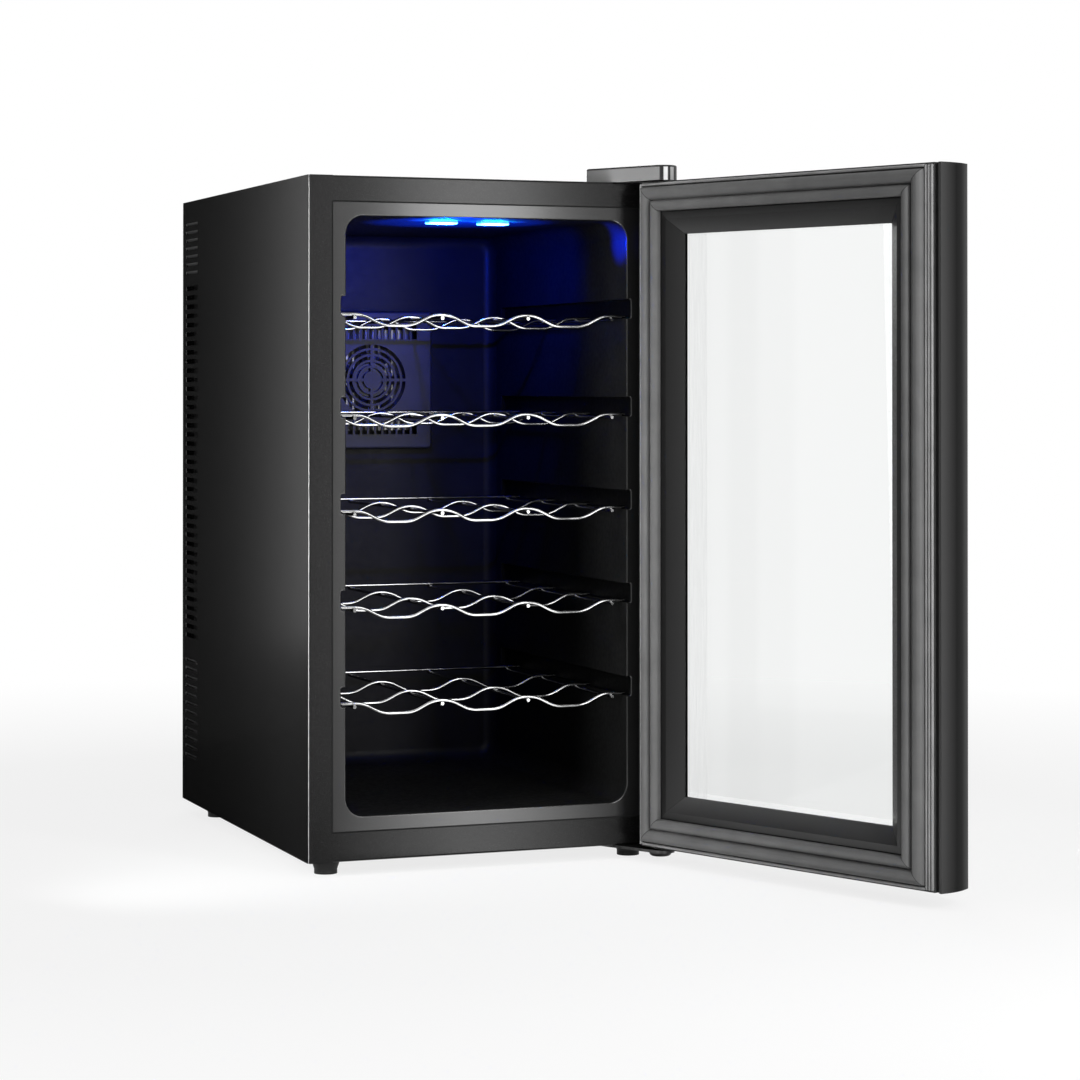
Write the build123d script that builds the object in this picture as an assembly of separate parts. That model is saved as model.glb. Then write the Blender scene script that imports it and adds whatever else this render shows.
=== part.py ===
from build123d import *
import os

# Free-standing thermoelectric wine cooler, shown with its glass door swung open.
# Millimetres, +Z up, front towards -Y. The origin is on the floor, midway between the four feet.

# Cabinet steelwork
CABINET_WIDTH = 345.0
CABINET_HEIGHT = 618.0
CABINET_DEPTH = 456.0
SHEET = 0.8
SHEET_BEND = 2.0
SIDE_RETURN = 23.0
TOP_RETURN = 24.0
BASE_RETURN = 27.0
REAR_RETURN = 12.0
REAR_COVER_T = 1.0
REAR_COVER_MARGIN = 2.0
REAR_COVER_GAP = 0.4
INLET_PANEL_HEIGHT = 136.0

# Feet
FOOT_HEIGHT = 13.0
FOOT_COLLAR_RADIUS = 12.5
FOOT_COLLAR_HEIGHT = 3.0
FOOT_PAD_RADIUS = 10.5
FOOT_PAD_HEIGHT = 4.0
FOOT_SIDE_INSET = 24.0
FOOT_FRONT_INSET = 25.0
FOOT_REAR_INSET = 55.0
FOOT_STUD_RADIUS = 4.0
FOOT_STUD_LENGTH = 14.0
INSERT_RADIUS = 8.0
INSERT_HEIGHT = 18.0
THREAD_CLEARANCE = 0.05

# Insulated box and liner
SIDE_WALL = 35.5
TOP_WALL = 36.0
BASE_WALL = 40.0
BACK_WALL = 32.0
LINER_T = 2.0
LINER_LIP = 1.2
CAVITY_CORNER = 17.0
CAVITY_BACK_FILLET = 12.0
FLANGE_LAP = 4.0
GROOVE_DEPTH = 4.5
GROOVE_HEIGHT = 18.0
GROOVE_BACK_MARGIN = 24.0

# Wire shelves
SHELF_COUNT = 5
FIRST_SHELF_RISE = 100.5
SHELF_PITCH = 87.0
TOP_SHELF_EXTRA = 4.5
WIRE_RADIUS = 1.5
WIRE_SEAT = 0.3
WELD_DEPTH = 0.1
NEST_COUNT = 3
NEST_DEPTH = 10.0
NEST_SLOPE = 20.0
NEST_BEND = 30.0
CREST_LAND = 16.0
SHELF_END_LAND = 21.5
WAVE_OFFSETS = (12.0, 100.0, 190.0)
REAR_BAR_OFFSET = 290.0
WIRE_END_OVERHANG = 3.0
SHELF_SIDE_PLAY = 2.0

# Side vents
VENT_LENGTH = 48.0
VENT_REAR_INSET = 14.0
SLOT_HEIGHT = 4.8
SLOT_PITCH = 9.4
SLOT_FIRST = 171.0
LOUVRE_HEIGHT = 4.0
LOUVRE_REACH = 3.0
UPPER_LOUVRES = 7
UPPER_LOUVRE_PITCH = 8.3
UPPER_LOUVRE_DROP = 23.2
LOWER_LOUVRES = 12
LOWER_LOUVRE_PITCH = 8.9
LOWER_LOUVRE_FIRST = 48.0
VENT_BREAK = 16.5

# Cooling unit, stacked from the cavity to the rear
UNIT_DROP = 184.0
POCKET_WIDTH = 118.0
POCKET_HEIGHT = 128.0
POCKET_DEPTH = 22.0
COLD_SINK_WIDTH = 100.0
COLD_SINK_HEIGHT = 104.0
COLD_SINK_BASE = 4.0
COLD_FIN_DEPTH = 9.0
HOT_SINK_WIDTH = 150.0
HOT_SINK_HEIGHT = 120.0
HOT_SINK_BASE = 5.0
HOT_FIN_DEPTH = 18.0
FIN_T = 1.5
FIN_PITCH = 7.0
BLOCK_SIZE = 44.0
BLOCK_CLEARANCE = 1.0
MODULE_SIZE = 40.0
MODULE_T = 4.0
MODULE_PLATE_T = 0.8
MODULE_CORE_INSET = 1.5
SEAL_WIDTH = 12.0
SEAL_T = 1.2
COLD_FAN_SIZE = 80.0
COLD_FAN_DEPTH = 15.0
HOT_FAN_SIZE = 92.0
HOT_FAN_DEPTH = 25.0
HOT_FAN_GAP = 14.0
FAN_WALL = 2.0
FAN_CORNER = 5.0
COLD_FAN_HUB_RADIUS = 17.5
HOT_FAN_HUB_RADIUS = 20.0
FAN_HUB_GAP = 2.0
FAN_TIP_GAP = 1.5
FAN_BASE_T = 2.5
FAN_STRUT = 3.0
FAN_SHAFT_RADIUS = 2.0
FAN_SHAFT_CLEARANCE = 0.05
FAN_BLADES = 7
BLADE_T = 1.4
BLADE_ROOT_PITCH = 52.0
BLADE_TIP_PITCH = 34.0
BLADE_EDGE_GAP = 1.0
FAN_HOLE_RADIUS = 2.1
FAN_HOLE_INSET = 5.0

# Fan cover on the cavity's back wall
COVER_WIDTH = 132.0
COVER_HEIGHT = 142.0
COVER_DEPTH = 10.0
COVER_WALL = 2.0
COVER_EDGE = 5.0
COVER_SLOT_COUNT = 13
COVER_SLOT_PITCH = 7.7
COVER_SLOT_WIDTH = 5.4
COVER_SLOT_HEIGHT = 14.0
COVER_SLOT_RISE = 49.0
COVER_RING_COUNT = 5
COVER_RING_FIRST = 9.0
COVER_RING_PITCH = 6.0
COVER_RING_SLOT = 3.6
COVER_SPOKE = 3.0

# Cabin lamp let into the cavity's ceiling
LAMP_LENGTH = 112.0
LAMP_WIDTH = 28.0
LAMP_DEPTH = 7.0
LAMP_WALL = 1.6
LAMP_CORNER = 4.0
LAMP_CLEARANCE = 0.2
LAMP_OFFSET = 60.0
LENS_LENGTH = 28.0
LENS_WIDTH = 13.0
LENS_SPACING = 51.0
LENS_DROP = 3.0
LENS_ROUND = 1.2
LENS_FLANGE = 1.5
LAMP_BOARD_T = 1.6

# Power electronics and inlet
TRAY_WIDTH = 130.0
TRAY_HEIGHT = 96.0
TRAY_DEPTH = 34.0
TRAY_WALL = 2.0
TRAY_RISE = 92.0
TRAY_POST = 5.0
TRAY_POST_RADIUS = 4.0
BOARD_MARGIN = 5.0
BOARD_T = 1.6
TRANSFORMER = (38.0, 20.0, 32.0)
CAPACITOR_RADIUS = 7.0
CAPACITOR_HEIGHT = 21.0
INLET_X = 112.0
INLET_RISE = 66.0
INLET_WIDTH = 27.0
INLET_HEIGHT = 20.0
INLET_DEPTH = 18.0
INLET_WALL = 2.0
INLET_FLANGE = 5.0
INLET_FLANGE_T = 1.5
INLET_CORNER = 4.0
INLET_PIN = (2.0, 12.0, 4.0)
INLET_PIN_SPREAD = 7.0
INLET_PIN_DROP = 2.0

# Rear grille
GRILLE_RING_COUNT = 6
GRILLE_RING_FIRST = 11.0
GRILLE_RING_PITCH = 5.8
GRILLE_RING_SLOT = 3.6
GRILLE_SPOKE = 4.0
REAR_SLOT_COUNT = 20
REAR_SLOT_PITCH = 10.0
REAR_SLOT_WIDTH = 4.0
REAR_SLOT_LENGTH = 60.0
REAR_UPPER_SLOTS_DROP = 63.0
REAR_LOWER_SLOTS_RISE = 230.0
SCREW_RADIUS = 1.6
SCREW_HEAD_RADIUS = 3.5
SCREW_HEAD_T = 1.6
SCREW_FIT = 0.05
REAR_SCREWS_A_SIDE = 4

# Hinges
PIVOT_SIDE_INSET = 11.5
PIVOT_FORWARD = 23.0
HINGE_T = 2.5
HINGE_BODY_WIDTH = 60.0
HINGE_BODY_FRONT = 25.0
HINGE_SCREW_ROWS = 20.0
HINGE_SCREW_SIDE = 16.0
HINGE_SIDE_MARGIN = 4.0
HINGE_NOSE_RADIUS = 13.0
HINGE_NOSE_SIDE = 14.5
HINGE_NOSE_FORWARD = 36.0
HINGE_CORNER = 4.0
HINGE_COVER_HEIGHT = 14.0
HINGE_COVER_WALL = 1.8
HINGE_COVER_EDGE = 1.5
HINGE_COVER_FIT = 0.4
PIN_RADIUS = 4.0
PIN_FIT = 0.05
PIN_ENGAGED = 13.0
PIN_HEAD_RADIUS = 6.5
PIN_HEAD_T = 1.5
LOWER_HEAD_RADIUS = 10.5
LOWER_HEAD_T = 5.5
LOWER_HEAD_ROUND = 3.5
BUSH_RADIUS = 7.0
BUSH_LENGTH = 15.0
WASHER_RADIUS = 8.5
WASHER_CLEARANCE = 0.2
HINGE_SCREW_RADIUS = 2.5
HINGE_SCREW_HEAD_RADIUS = 4.6
HINGE_SCREW_HEAD_T = 2.4
HINGE_SCREW_LENGTH = 7.0
BACKING_T = 4.0
BACKING_MARGIN = 6.5
BACKING_GAP = 1.0
FOOT_HOLE_CLEARANCE = 0.8

# Door
DOOR_T = 45.0
DOOR_OPEN = 112.0
DOOR_SILL = 1.5
DOOR_HEAD_GAP = 1.0
HANDLE_OVERHANG = 14.0
PROFILE_WIDTH = 19.5
PROFILE_BULGE = 2.0
PROFILE_FRONT_ROUND = 8.0
PROFILE_EDGE_FLAT = 2.6
PROFILE_CHANNEL_WIDTH = 4.6
PROFILE_CHANNEL_DEPTH = 3.5
VIEW_INSET = 49.0
SPACER_WIDTH = 4.0
GLASS_T = 4.0
FRONT_GLASS_SET = 1.0
FRONT_GLASS_LIP = 7.0
GLASS_CLEARANCE = 0.4
INNER_GLASS_SET = 10.0
BEZEL_GAP = 0.5
BEZEL_LAND = 7.0
BEZEL_SEAT = 5.0
BEZEL_PROUD = 1.5
BEZEL_LIP = 1.0
BEZEL_EDGE = 1.0

# Door seal
GASKET_GAP = 8.0
GASKET_CLEARANCE = 0.3
GASKET_INSET = 5.0
OUTER_LOBE_WIDTH = 12.0
INNER_LOBE_WIDTH = 9.5
LOBE_GROOVE = 1.0
LOBE_CREST = 1.0
GASKET_BASE_T = 1.2
DART_WIDTH = 4.0
DART_DEPTH = 5.0
DART_INSET = 3.75
DART_CLEARANCE = 0.2
MAGNET_WIDTH = 6.4
MAGNET_T = 2.4
MAGNET_CLEARANCE = 0.2
MAGNET_COVER = 2.0

# Touch control behind the front glass
CONTROL_WIDTH = 92.0
CONTROL_HEIGHT = 22.0
CONTROL_BOARD_T = 1.6
CONTROL_DROP = 30.0
CONTROL_POCKET_MARGIN = 2.0
DISPLAY_WIDTH = 30.0
DISPLAY_HEIGHT = 15.0
DISPLAY_T = 5.0
TOUCH_PAD_RADIUS = 4.0
TOUCH_PAD_SPACING = 15.0
CHIP = (14.0, 2.0, 9.0)

# Wiring held in the rear compartment
LEAD_RADIUS = 2.5
LEAD_BEND = 12.0
LEAD_SIDE = 58.0

# Places that follow from the sizes above
CABINET_HALF = CABINET_WIDTH / 2
FOOT_X = CABINET_HALF - FOOT_SIDE_INSET
FOOT_Y = (CABINET_DEPTH - FOOT_FRONT_INSET - FOOT_REAR_INSET) / 2
FRONT = -FOOT_Y - FOOT_FRONT_INSET
BACK = FRONT + CABINET_DEPTH
BOTTOM = FOOT_HEIGHT
TOP = BOTTOM + CABINET_HEIGHT
INNER_HALF = CABINET_HALF - SHEET

CAVITY_HALF = CABINET_HALF - SIDE_WALL
CAVITY_FLOOR = BOTTOM + BASE_WALL
CAVITY_CEILING = TOP - TOP_WALL
CHAMBER = BACK - HOT_FAN_DEPTH - HOT_FAN_GAP - HOT_FIN_DEPTH - HOT_SINK_BASE - SEAL_T - SHEET
CAVITY_BACK = CHAMBER - BACK_WALL

UNIT_Z = TOP - UNIT_DROP
POCKET_FLOOR = CAVITY_BACK + POCKET_DEPTH
COLD_FIN_TIPS = POCKET_FLOOR - COLD_SINK_BASE - COLD_FIN_DEPTH
BLOCK_BACK = CHAMBER + SHEET + SEAL_T - MODULE_T
HOT_SINK_FRONT = BLOCK_BACK + MODULE_T
HOT_FIN_ROOTS = HOT_SINK_FRONT + HOT_SINK_BASE

PIVOT_X = CABINET_HALF - PIVOT_SIDE_INSET
PIVOT_Y = FRONT - PIVOT_FORWARD
DOOR_INNER = FRONT - GASKET_GAP
DOOR_OUTER = DOOR_INNER - DOOR_T
DOOR_BOTTOM = BOTTOM + DOOR_SILL
DOOR_TOP = TOP - DOOR_HEAD_GAP
DOOR_MIDDLE = (DOOR_BOTTOM + DOOR_TOP) / 2
DOOR_HEIGHT = DOOR_TOP - DOOR_BOTTOM
FRAME_LEFT = -CABINET_HALF - HANDLE_OVERHANG + PROFILE_WIDTH
FRAME_RIGHT = CABINET_HALF - PROFILE_WIDTH
INNER_LOBE_INSET = GASKET_INSET + OUTER_LOBE_WIDTH + LOBE_GROOVE
SEAL_INNER_INSET = INNER_LOBE_INSET + INNER_LOBE_WIDTH
DART_MIDDLE = SEAL_INNER_INSET - DART_INSET
BEZEL_INSET = SEAL_INNER_INSET + BEZEL_GAP
INNER_GLASS_INSET = BEZEL_INSET + BEZEL_SEAT
SPACER_INSET = VIEW_INSET - SPACER_WIDTH

SHELF_HALF = CAVITY_HALF + GROOVE_DEPTH - SHELF_SIDE_PLAY
NEST_HALF = (SHELF_HALF - SHELF_END_LAND - (NEST_COUNT - 1) * CREST_LAND / 2) / NEST_COUNT
NEST_PITCH = 2 * NEST_HALF + CREST_LAND
NEST_FLOOR_HALF = NEST_HALF - NEST_SLOPE


def shelf_level(index):
    """Height of a shelf's crest wire axis, counted from the lowest shelf."""
    extra = TOP_SHELF_EXTRA if index == SHELF_COUNT - 1 else 0.0
    return CAVITY_FLOOR + FIRST_SHELF_RISE + index * SHELF_PITCH + extra


def block(x0, x1, y0, y1, z0, z1):
    """A rectangular block between two corners."""
    centre = Pos((x0 + x1) / 2, (y0 + y1) / 2, (z0 + z1) / 2)
    return centre * Box(x1 - x0, y1 - y0, z1 - z0)


def area(x0, x1, z0, z1):
    """A rectangle drawn in X and Z."""
    return Pos((x0 + x1) / 2, (z0 + z1) / 2) * Rectangle(x1 - x0, z1 - z0)


def rounded_area(x0, x1, z0, z1, radius):
    """A rectangle with round corners drawn in X and Z."""
    return Pos((x0 + x1) / 2, (z0 + z1) / 2) * RectangleRounded(x1 - x0, z1 - z0, radius)


def deep(sketch, y0, y1):
    """A sketch drawn in X and Z, extruded from y0 back to y1."""
    return extrude(Plane.XZ.offset(-y0) * sketch, amount=y0 - y1)


def tall(sketch, z0, z1):
    """A sketch drawn in X and Y, extruded from z0 up to z1."""
    return extrude(Pos(0, 0, z0) * sketch, amount=z1 - z0)


def wide(sketch, x0, x1):
    """A sketch drawn in Y and Z, extruded from x0 to x1."""
    return extrude(Plane.YZ.offset(x0) * sketch, amount=x1 - x0)


def post(x, y, z0, z1, radius):
    """An upright cylinder."""
    return Pos(x, y, (z0 + z1) / 2) * Cylinder(radius, z1 - z0)


def bar(x, z, y0, y1, radius):
    """A cylinder that runs from front to back."""
    return Pos(x, (y0 + y1) / 2, z) * Rot(90, 0, 0) * Cylinder(radius, y1 - y0)


def vent_slots():
    """The punched slots and the openings under the louvres, as blocks through the left side sheet."""
    y0, y1 = BACK - VENT_REAR_INSET - VENT_LENGTH, BACK - VENT_REAR_INSET
    run = upper_louvre_first() - VENT_BREAK - SLOT_FIRST
    rows = [(SLOT_FIRST + i * SLOT_PITCH, SLOT_HEIGHT) for i in range(int(run / SLOT_PITCH) + 1)]
    rows += [(rise, LOUVRE_HEIGHT) for rise in louvre_rises()]
    x0, x1 = -CABINET_HALF - SHEET, -CABINET_HALF + 2 * SHEET
    return [
        block(x0, x1, y0, y1, BOTTOM + rise - height / 2, BOTTOM + rise + height / 2)
        for rise, height in rows
    ]


def upper_louvre_first():
    """Height above the base of the lowest louvre in the upper group."""
    return CABINET_HEIGHT - UPPER_LOUVRE_DROP - (UPPER_LOUVRES - 1) * UPPER_LOUVRE_PITCH


def louvre_rises():
    upper = [upper_louvre_first() + i * UPPER_LOUVRE_PITCH for i in range(UPPER_LOUVRES)]
    lower = [LOWER_LOUVRE_FIRST + i * LOWER_LOUVRE_PITCH for i in range(LOWER_LOUVRES)]
    return upper + lower


def louvre_blade(rise):
    """A tongue of the side sheet pressed inwards, hanging from the top of its opening."""
    y0, y1 = BACK - VENT_REAR_INSET - VENT_LENGTH, BACK - VENT_REAR_INSET
    head = BOTTOM + rise + LOUVRE_HEIGHT / 2
    foot = head - LOUVRE_HEIGHT
    outer = -CABINET_HALF
    tongue = Polyline(
        (outer, head + SHEET),
        (outer, head - SHEET),
        (outer + LOUVRE_REACH, foot),
        (outer + LOUVRE_REACH + SHEET, foot),
        (outer + SHEET, head + SHEET),
        close=True,
    )
    return deep(make_face(tongue), y0, y1)


def left_side_panel():
    """Folded side sheet with a front and a rear return, slots and louvres."""
    x0 = -CABINET_HALF
    outline = Pos(x0 + SIDE_RETURN / 2, (FRONT + BACK) / 2) * Rectangle(SIDE_RETURN, CABINET_DEPTH)
    outline = fillet(outline.vertices().group_by(Axis.X)[0], SHEET_BEND)
    hollow_depth = CABINET_DEPTH - 2 * SHEET
    hollow = Pos(x0 + SHEET + SIDE_RETURN / 2, (FRONT + BACK) / 2)
    hollow = hollow * Rectangle(SIDE_RETURN, hollow_depth)
    hollow = fillet(hollow.vertices().group_by(Axis.X)[0], SHEET_BEND - SHEET)
    trim = block(x0 + REAR_RETURN, x0 + SIDE_RETURN, BACK - SHEET, BACK, BOTTOM, TOP)
    panel = tall(outline - hollow, BOTTOM, TOP) - trim - vent_slots() - rear_screw_holes()
    return panel + [louvre_blade(rise) for rise in louvre_rises()]


def cap_sheet(face_z, edge_z):
    """A top or base sheet whose front return runs from face_z to edge_z between the side returns."""
    low, high = min(face_z, edge_z), max(face_z, edge_z)
    outline = Pos((FRONT + BACK) / 2, (low + high) / 2) * Rectangle(CABINET_DEPTH, high - low)
    inward, face_row = (SHEET, 0) if edge_z > face_z else (-SHEET, -1)
    corner = outline.vertices().group_by(Axis.Y)[face_row].sort_by(Axis.X)[0]
    outline = fillet(corner, SHEET_BEND)
    hollow = Pos((FRONT + BACK) / 2 + SHEET, (low + high) / 2 + inward)
    hollow = hollow * Rectangle(CABINET_DEPTH, high - low)
    corner = hollow.vertices().group_by(Axis.Y)[face_row].sort_by(Axis.X)[0]
    hollow = fillet(corner, SHEET_BEND - SHEET)
    middle = CABINET_HALF - SIDE_RETURN
    folded = wide(outline - hollow, -middle, middle)
    flat_low, flat_high = min(face_z, face_z + inward), max(face_z, face_z + inward)
    y0, y1 = FRONT + SHEET_BEND, BACK - SHEET_BEND
    wings = [
        block(-INNER_HALF, -middle, y0, y1, flat_low, flat_high),
        block(middle, INNER_HALF, y0, y1, flat_low, flat_high),
    ]
    return folded + wings


def top_panel():
    """Top sheet, folded down at the front, drilled for the hinge screws."""
    holes = [
        post(x, y, TOP - 2 * SHEET, TOP + SHEET, HINGE_SCREW_RADIUS + SCREW_FIT)
        for x, y in hinge_screw_places()
    ]
    return cap_sheet(TOP, TOP - TOP_RETURN) - holes


def foot_places():
    return [(x, y) for y in (-FOOT_Y, FOOT_Y) for x in (-FOOT_X, FOOT_X)]


def base_pan():
    """Base sheet, folded up at the front, drilled for the feet and the hinge screws."""
    holes = [
        post(x, y, BOTTOM - SHEET, BOTTOM + 2 * SHEET, HINGE_SCREW_RADIUS + SCREW_FIT)
        for x, y in hinge_screw_places()
    ]
    holes += [
        post(x, y, BOTTOM - SHEET, BOTTOM + 2 * SHEET, FOOT_STUD_RADIUS + FOOT_HOLE_CLEARANCE)
        for x, y in foot_places()
    ]
    return cap_sheet(BOTTOM, BOTTOM + BASE_RETURN) - holes


def foot(x, y):
    """Turned foot: a pad, a flared collar and a threaded stud."""
    collar_z = BOTTOM - FOOT_COLLAR_HEIGHT
    profile = Polyline(
        (0, 0),
        (FOOT_PAD_RADIUS, 0),
        (FOOT_PAD_RADIUS, FOOT_PAD_HEIGHT),
        (FOOT_COLLAR_RADIUS, collar_z),
        (FOOT_COLLAR_RADIUS, BOTTOM),
        (FOOT_STUD_RADIUS, BOTTOM),
        (FOOT_STUD_RADIUS, BOTTOM + FOOT_STUD_LENGTH),
        (0, BOTTOM + FOOT_STUD_LENGTH),
        close=True,
    )
    return Pos(x, y, 0) * revolve(Plane.XZ * make_face(profile), Axis.Z)


def foot_insert_envelopes():
    return [
        post(x, y, BOTTOM + SHEET, BOTTOM + SHEET + INSERT_HEIGHT, INSERT_RADIUS)
        for x, y in foot_places()
    ]


def foot_inserts():
    """Threaded sleeves in the base that take the feet's studs."""
    bores = [
        post(x, y, BOTTOM, BOTTOM + FOOT_STUD_LENGTH + SHEET, FOOT_STUD_RADIUS + THREAD_CLEARANCE)
        for x, y in foot_places()
    ]
    return [sleeve - bore for sleeve, bore in zip(foot_insert_envelopes(), bores)]


def groove_area(side, level, grow):
    """Outline of one shelf groove, in X and Z, centred on the cavity's side wall."""
    low = level - WIRE_RADIUS - WIRE_SEAT - grow
    reach = GROOVE_DEPTH + grow
    x = side * CAVITY_HALF
    high = low + GROOVE_HEIGHT + 2 * grow
    return rounded_area(x - reach, x + reach, low, high, SHELF_SIDE_PLAY + grow)


def cavity_form(grow):
    """The space inside the liner, or with grow its outside: box, shelf grooves and two pockets."""
    half = CAVITY_HALF + grow
    low, high = CAVITY_FLOOR - grow, CAVITY_CEILING + grow
    front = FRONT + SHEET
    form = deep(rounded_area(-half, half, low, high, CAVITY_CORNER + grow), front, CAVITY_BACK + grow)
    form = fillet(form.faces().sort_by(Axis.Y)[-1].edges(), CAVITY_BACK_FILLET + grow)
    grooves = [
        deep(groove_area(side, shelf_level(i), grow), front, CAVITY_BACK - GROOVE_BACK_MARGIN + grow)
        for i in range(SHELF_COUNT)
        for side in (-1, 1)
    ]
    x, z = POCKET_WIDTH / 2 + grow, POCKET_HEIGHT / 2 + grow
    start = CAVITY_BACK - CAVITY_BACK_FILLET
    pocket = block(-x, x, start, POCKET_FLOOR + grow, UNIT_Z - z, UNIT_Z + z)
    lamp_top = CAVITY_CEILING + LAMP_DEPTH + grow
    lamp = tall(lamp_outline(LAMP_CLEARANCE + grow), CAVITY_CEILING - LAMP_DEPTH, lamp_top)
    return form + grooves + pocket + lamp


def liner_envelope():
    """The liner's outside with its front flange, which tucks behind the steel returns."""
    x = CABINET_HALF - SIDE_RETURN + FLANGE_LAP
    low, high = BOTTOM + BASE_RETURN - FLANGE_LAP, TOP - TOP_RETURN + FLANGE_LAP
    flange = block(-x, x, FRONT + SHEET, FRONT + SHEET + LINER_T, low, high)
    return cavity_form(LINER_T) + flange


def module_hole(y0, y1):
    """The square way through the back wall for the cold block."""
    half = BLOCK_SIZE / 2 + BLOCK_CLEARANCE
    return block(-half, half, y0, y1, UNIT_Z - half, UNIT_Z + half)


def inner_liner(envelope):
    """Thermoformed liner with shelf grooves, pockets for the cold sink and the lamp, and a front flange."""
    hole = module_hole(POCKET_FLOOR - LINER_T, POCKET_FLOOR + 2 * LINER_T)
    liner = envelope - cavity_form(0) - hole
    mouth = liner.faces().sort_by(Axis.Y)[0].inner_wires()[0]
    return fillet(mouth.edges(), LINER_LIP)


def foam_insulation(envelope):
    """Foam that fills the walls between the steel and the liner."""
    foam = block(-INNER_HALF, INNER_HALF, FRONT + SHEET, CHAMBER, BOTTOM + SHEET, TOP - SHEET)
    foam = chamfer(foam.faces().sort_by(Axis.Y)[0].edges(), SHEET_BEND - SHEET)
    cuts = [envelope, module_hole(CAVITY_BACK, CHAMBER + SHEET)]
    cuts += foot_insert_envelopes() + backing_envelopes()
    return foam - cuts


def back_plate():
    """Sheet that closes the foam towards the rear compartment."""
    plate = block(-INNER_HALF, INNER_HALF, CHAMBER, CHAMBER + SHEET, BOTTOM + SHEET, TOP - SHEET)
    return plate - module_hole(CHAMBER - SHEET, CHAMBER + 2 * SHEET)


def finned_sink(width, height, y0, y1, fin_y):
    """A base plate between y0 and y1 with upright fins that end at fin_y."""
    x, z = width / 2, height / 2
    base = block(-x, x, y0, y1, UNIT_Z - z, UNIT_Z + z)
    count = int((width - FIN_T) // FIN_PITCH) + 1
    first = -(count - 1) * FIN_PITCH / 2
    fin_start, fin_end = (fin_y, y0) if fin_y < y0 else (y1, fin_y)
    fins = [
        block(c - FIN_T / 2, c + FIN_T / 2, fin_start, fin_end, UNIT_Z - z, UNIT_Z + z)
        for c in (first + i * FIN_PITCH for i in range(count))
    ]
    return base + fins


def cold_sink():
    root = POCKET_FLOOR - COLD_SINK_BASE
    return finned_sink(COLD_SINK_WIDTH, COLD_SINK_HEIGHT, root, POCKET_FLOOR, COLD_FIN_TIPS)


def hot_sink():
    tips = HOT_FIN_ROOTS + HOT_FIN_DEPTH
    return finned_sink(HOT_SINK_WIDTH, HOT_SINK_HEIGHT, HOT_SINK_FRONT, HOT_FIN_ROOTS, tips)


def cold_block():
    """Aluminium spacer that carries the cold through the back wall."""
    half = BLOCK_SIZE / 2
    return block(-half, half, POCKET_FLOOR, BLOCK_BACK, UNIT_Z - half, UNIT_Z + half)


def peltier_module():
    """Two ceramic plates with the block of pellets between them."""
    half = MODULE_SIZE / 2
    core = half - MODULE_CORE_INSET
    front, back = BLOCK_BACK, HOT_SINK_FRONT
    plate_t = MODULE_PLATE_T
    return (
        block(-half, half, front, front + plate_t, UNIT_Z - half, UNIT_Z + half)
        + block(-core, core, front + plate_t, back - plate_t, UNIT_Z - core, UNIT_Z + core)
        + block(-half, half, back - plate_t, back, UNIT_Z - half, UNIT_Z + half)
    )


def module_seal():
    """Foam frame between the back plate and the hot sink, round the module."""
    y0, y1 = CHAMBER + SHEET, HOT_SINK_FRONT
    half = BLOCK_SIZE / 2 + BLOCK_CLEARANCE + SEAL_WIDTH
    frame = block(-half, half, y0, y1, UNIT_Z - half, UNIT_Z + half)
    return frame - module_hole(y0 - SHEET, y1 + SHEET)


def fan_frame(size, depth, hub):
    """Square fan housing with its axis on Z: duct, motor base on struts, shaft and corner holes."""
    duct = size / 2 - FAN_WALL
    body = tall(RectangleRounded(size, size, FAN_CORNER), 0, depth)
    body = body - post(0, 0, -depth, 2 * depth, duct)
    corner = size / 2 - FAN_HOLE_INSET
    holes = [
        post(x, y, -depth, 2 * depth, FAN_HOLE_RADIUS)
        for x in (-corner, corner)
        for y in (-corner, corner)
    ]
    strut_reach = duct + FAN_WALL / 2
    struts = block(-strut_reach, strut_reach, -FAN_STRUT / 2, FAN_STRUT / 2, 0, FAN_BASE_T)
    struts = struts + Rot(0, 0, 90) * struts
    motor = post(0, 0, 0, FAN_BASE_T, hub)
    shaft = post(0, 0, 0, depth - FAN_HUB_GAP, FAN_SHAFT_RADIUS)
    return body - holes + struts + motor + shaft


def fan_rotor(size, depth, hub):
    """Hub with twisted blades, running on the fan's shaft."""
    tip = size / 2 - FAN_WALL - FAN_TIP_GAP
    low, high = FAN_BASE_T + FAN_HUB_GAP, depth - BLADE_EDGE_GAP
    rise = (high - low) / 2
    root_chord = 2 * (rise - BLADE_T) / Vector(1, 0, 0).rotate(Axis.Z, BLADE_ROOT_PITCH).Y
    tip_chord = 2 * (rise - BLADE_T) / Vector(1, 0, 0).rotate(Axis.Z, BLADE_TIP_PITCH).Y
    root_plane = Plane(origin=(hub / 2, 0, low + rise), x_dir=(0, 1, 0), z_dir=(1, 0, 0))
    tip_plane = Plane(origin=(tip, 0, low + rise), x_dir=(0, 1, 0), z_dir=(1, 0, 0))
    root = root_plane * Rot(0, 0, BLADE_ROOT_PITCH) * Rectangle(min(root_chord, hub), BLADE_T)
    end = tip_plane * Rot(0, 0, BLADE_TIP_PITCH) * Rectangle(tip_chord, BLADE_T)
    blade = loft([root, end]) & post(0, 0, low, high, tip)
    turn = 360 / FAN_BLADES
    blades = [Rot(0, 0, i * turn) * blade for i in range(FAN_BLADES)]
    bore_end = depth - FAN_HUB_GAP + FAN_SHAFT_CLEARANCE
    bore = post(0, 0, -depth, bore_end, FAN_SHAFT_RADIUS + FAN_SHAFT_CLEARANCE)
    return post(0, 0, low, depth, hub) + blades - bore


def cold_fan_place():
    """The cold fan stands on the cold sink's fins and blows towards the cavity."""
    return Pos(0, COLD_FIN_TIPS, UNIT_Z) * Rot(90, 0, 0)


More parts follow.
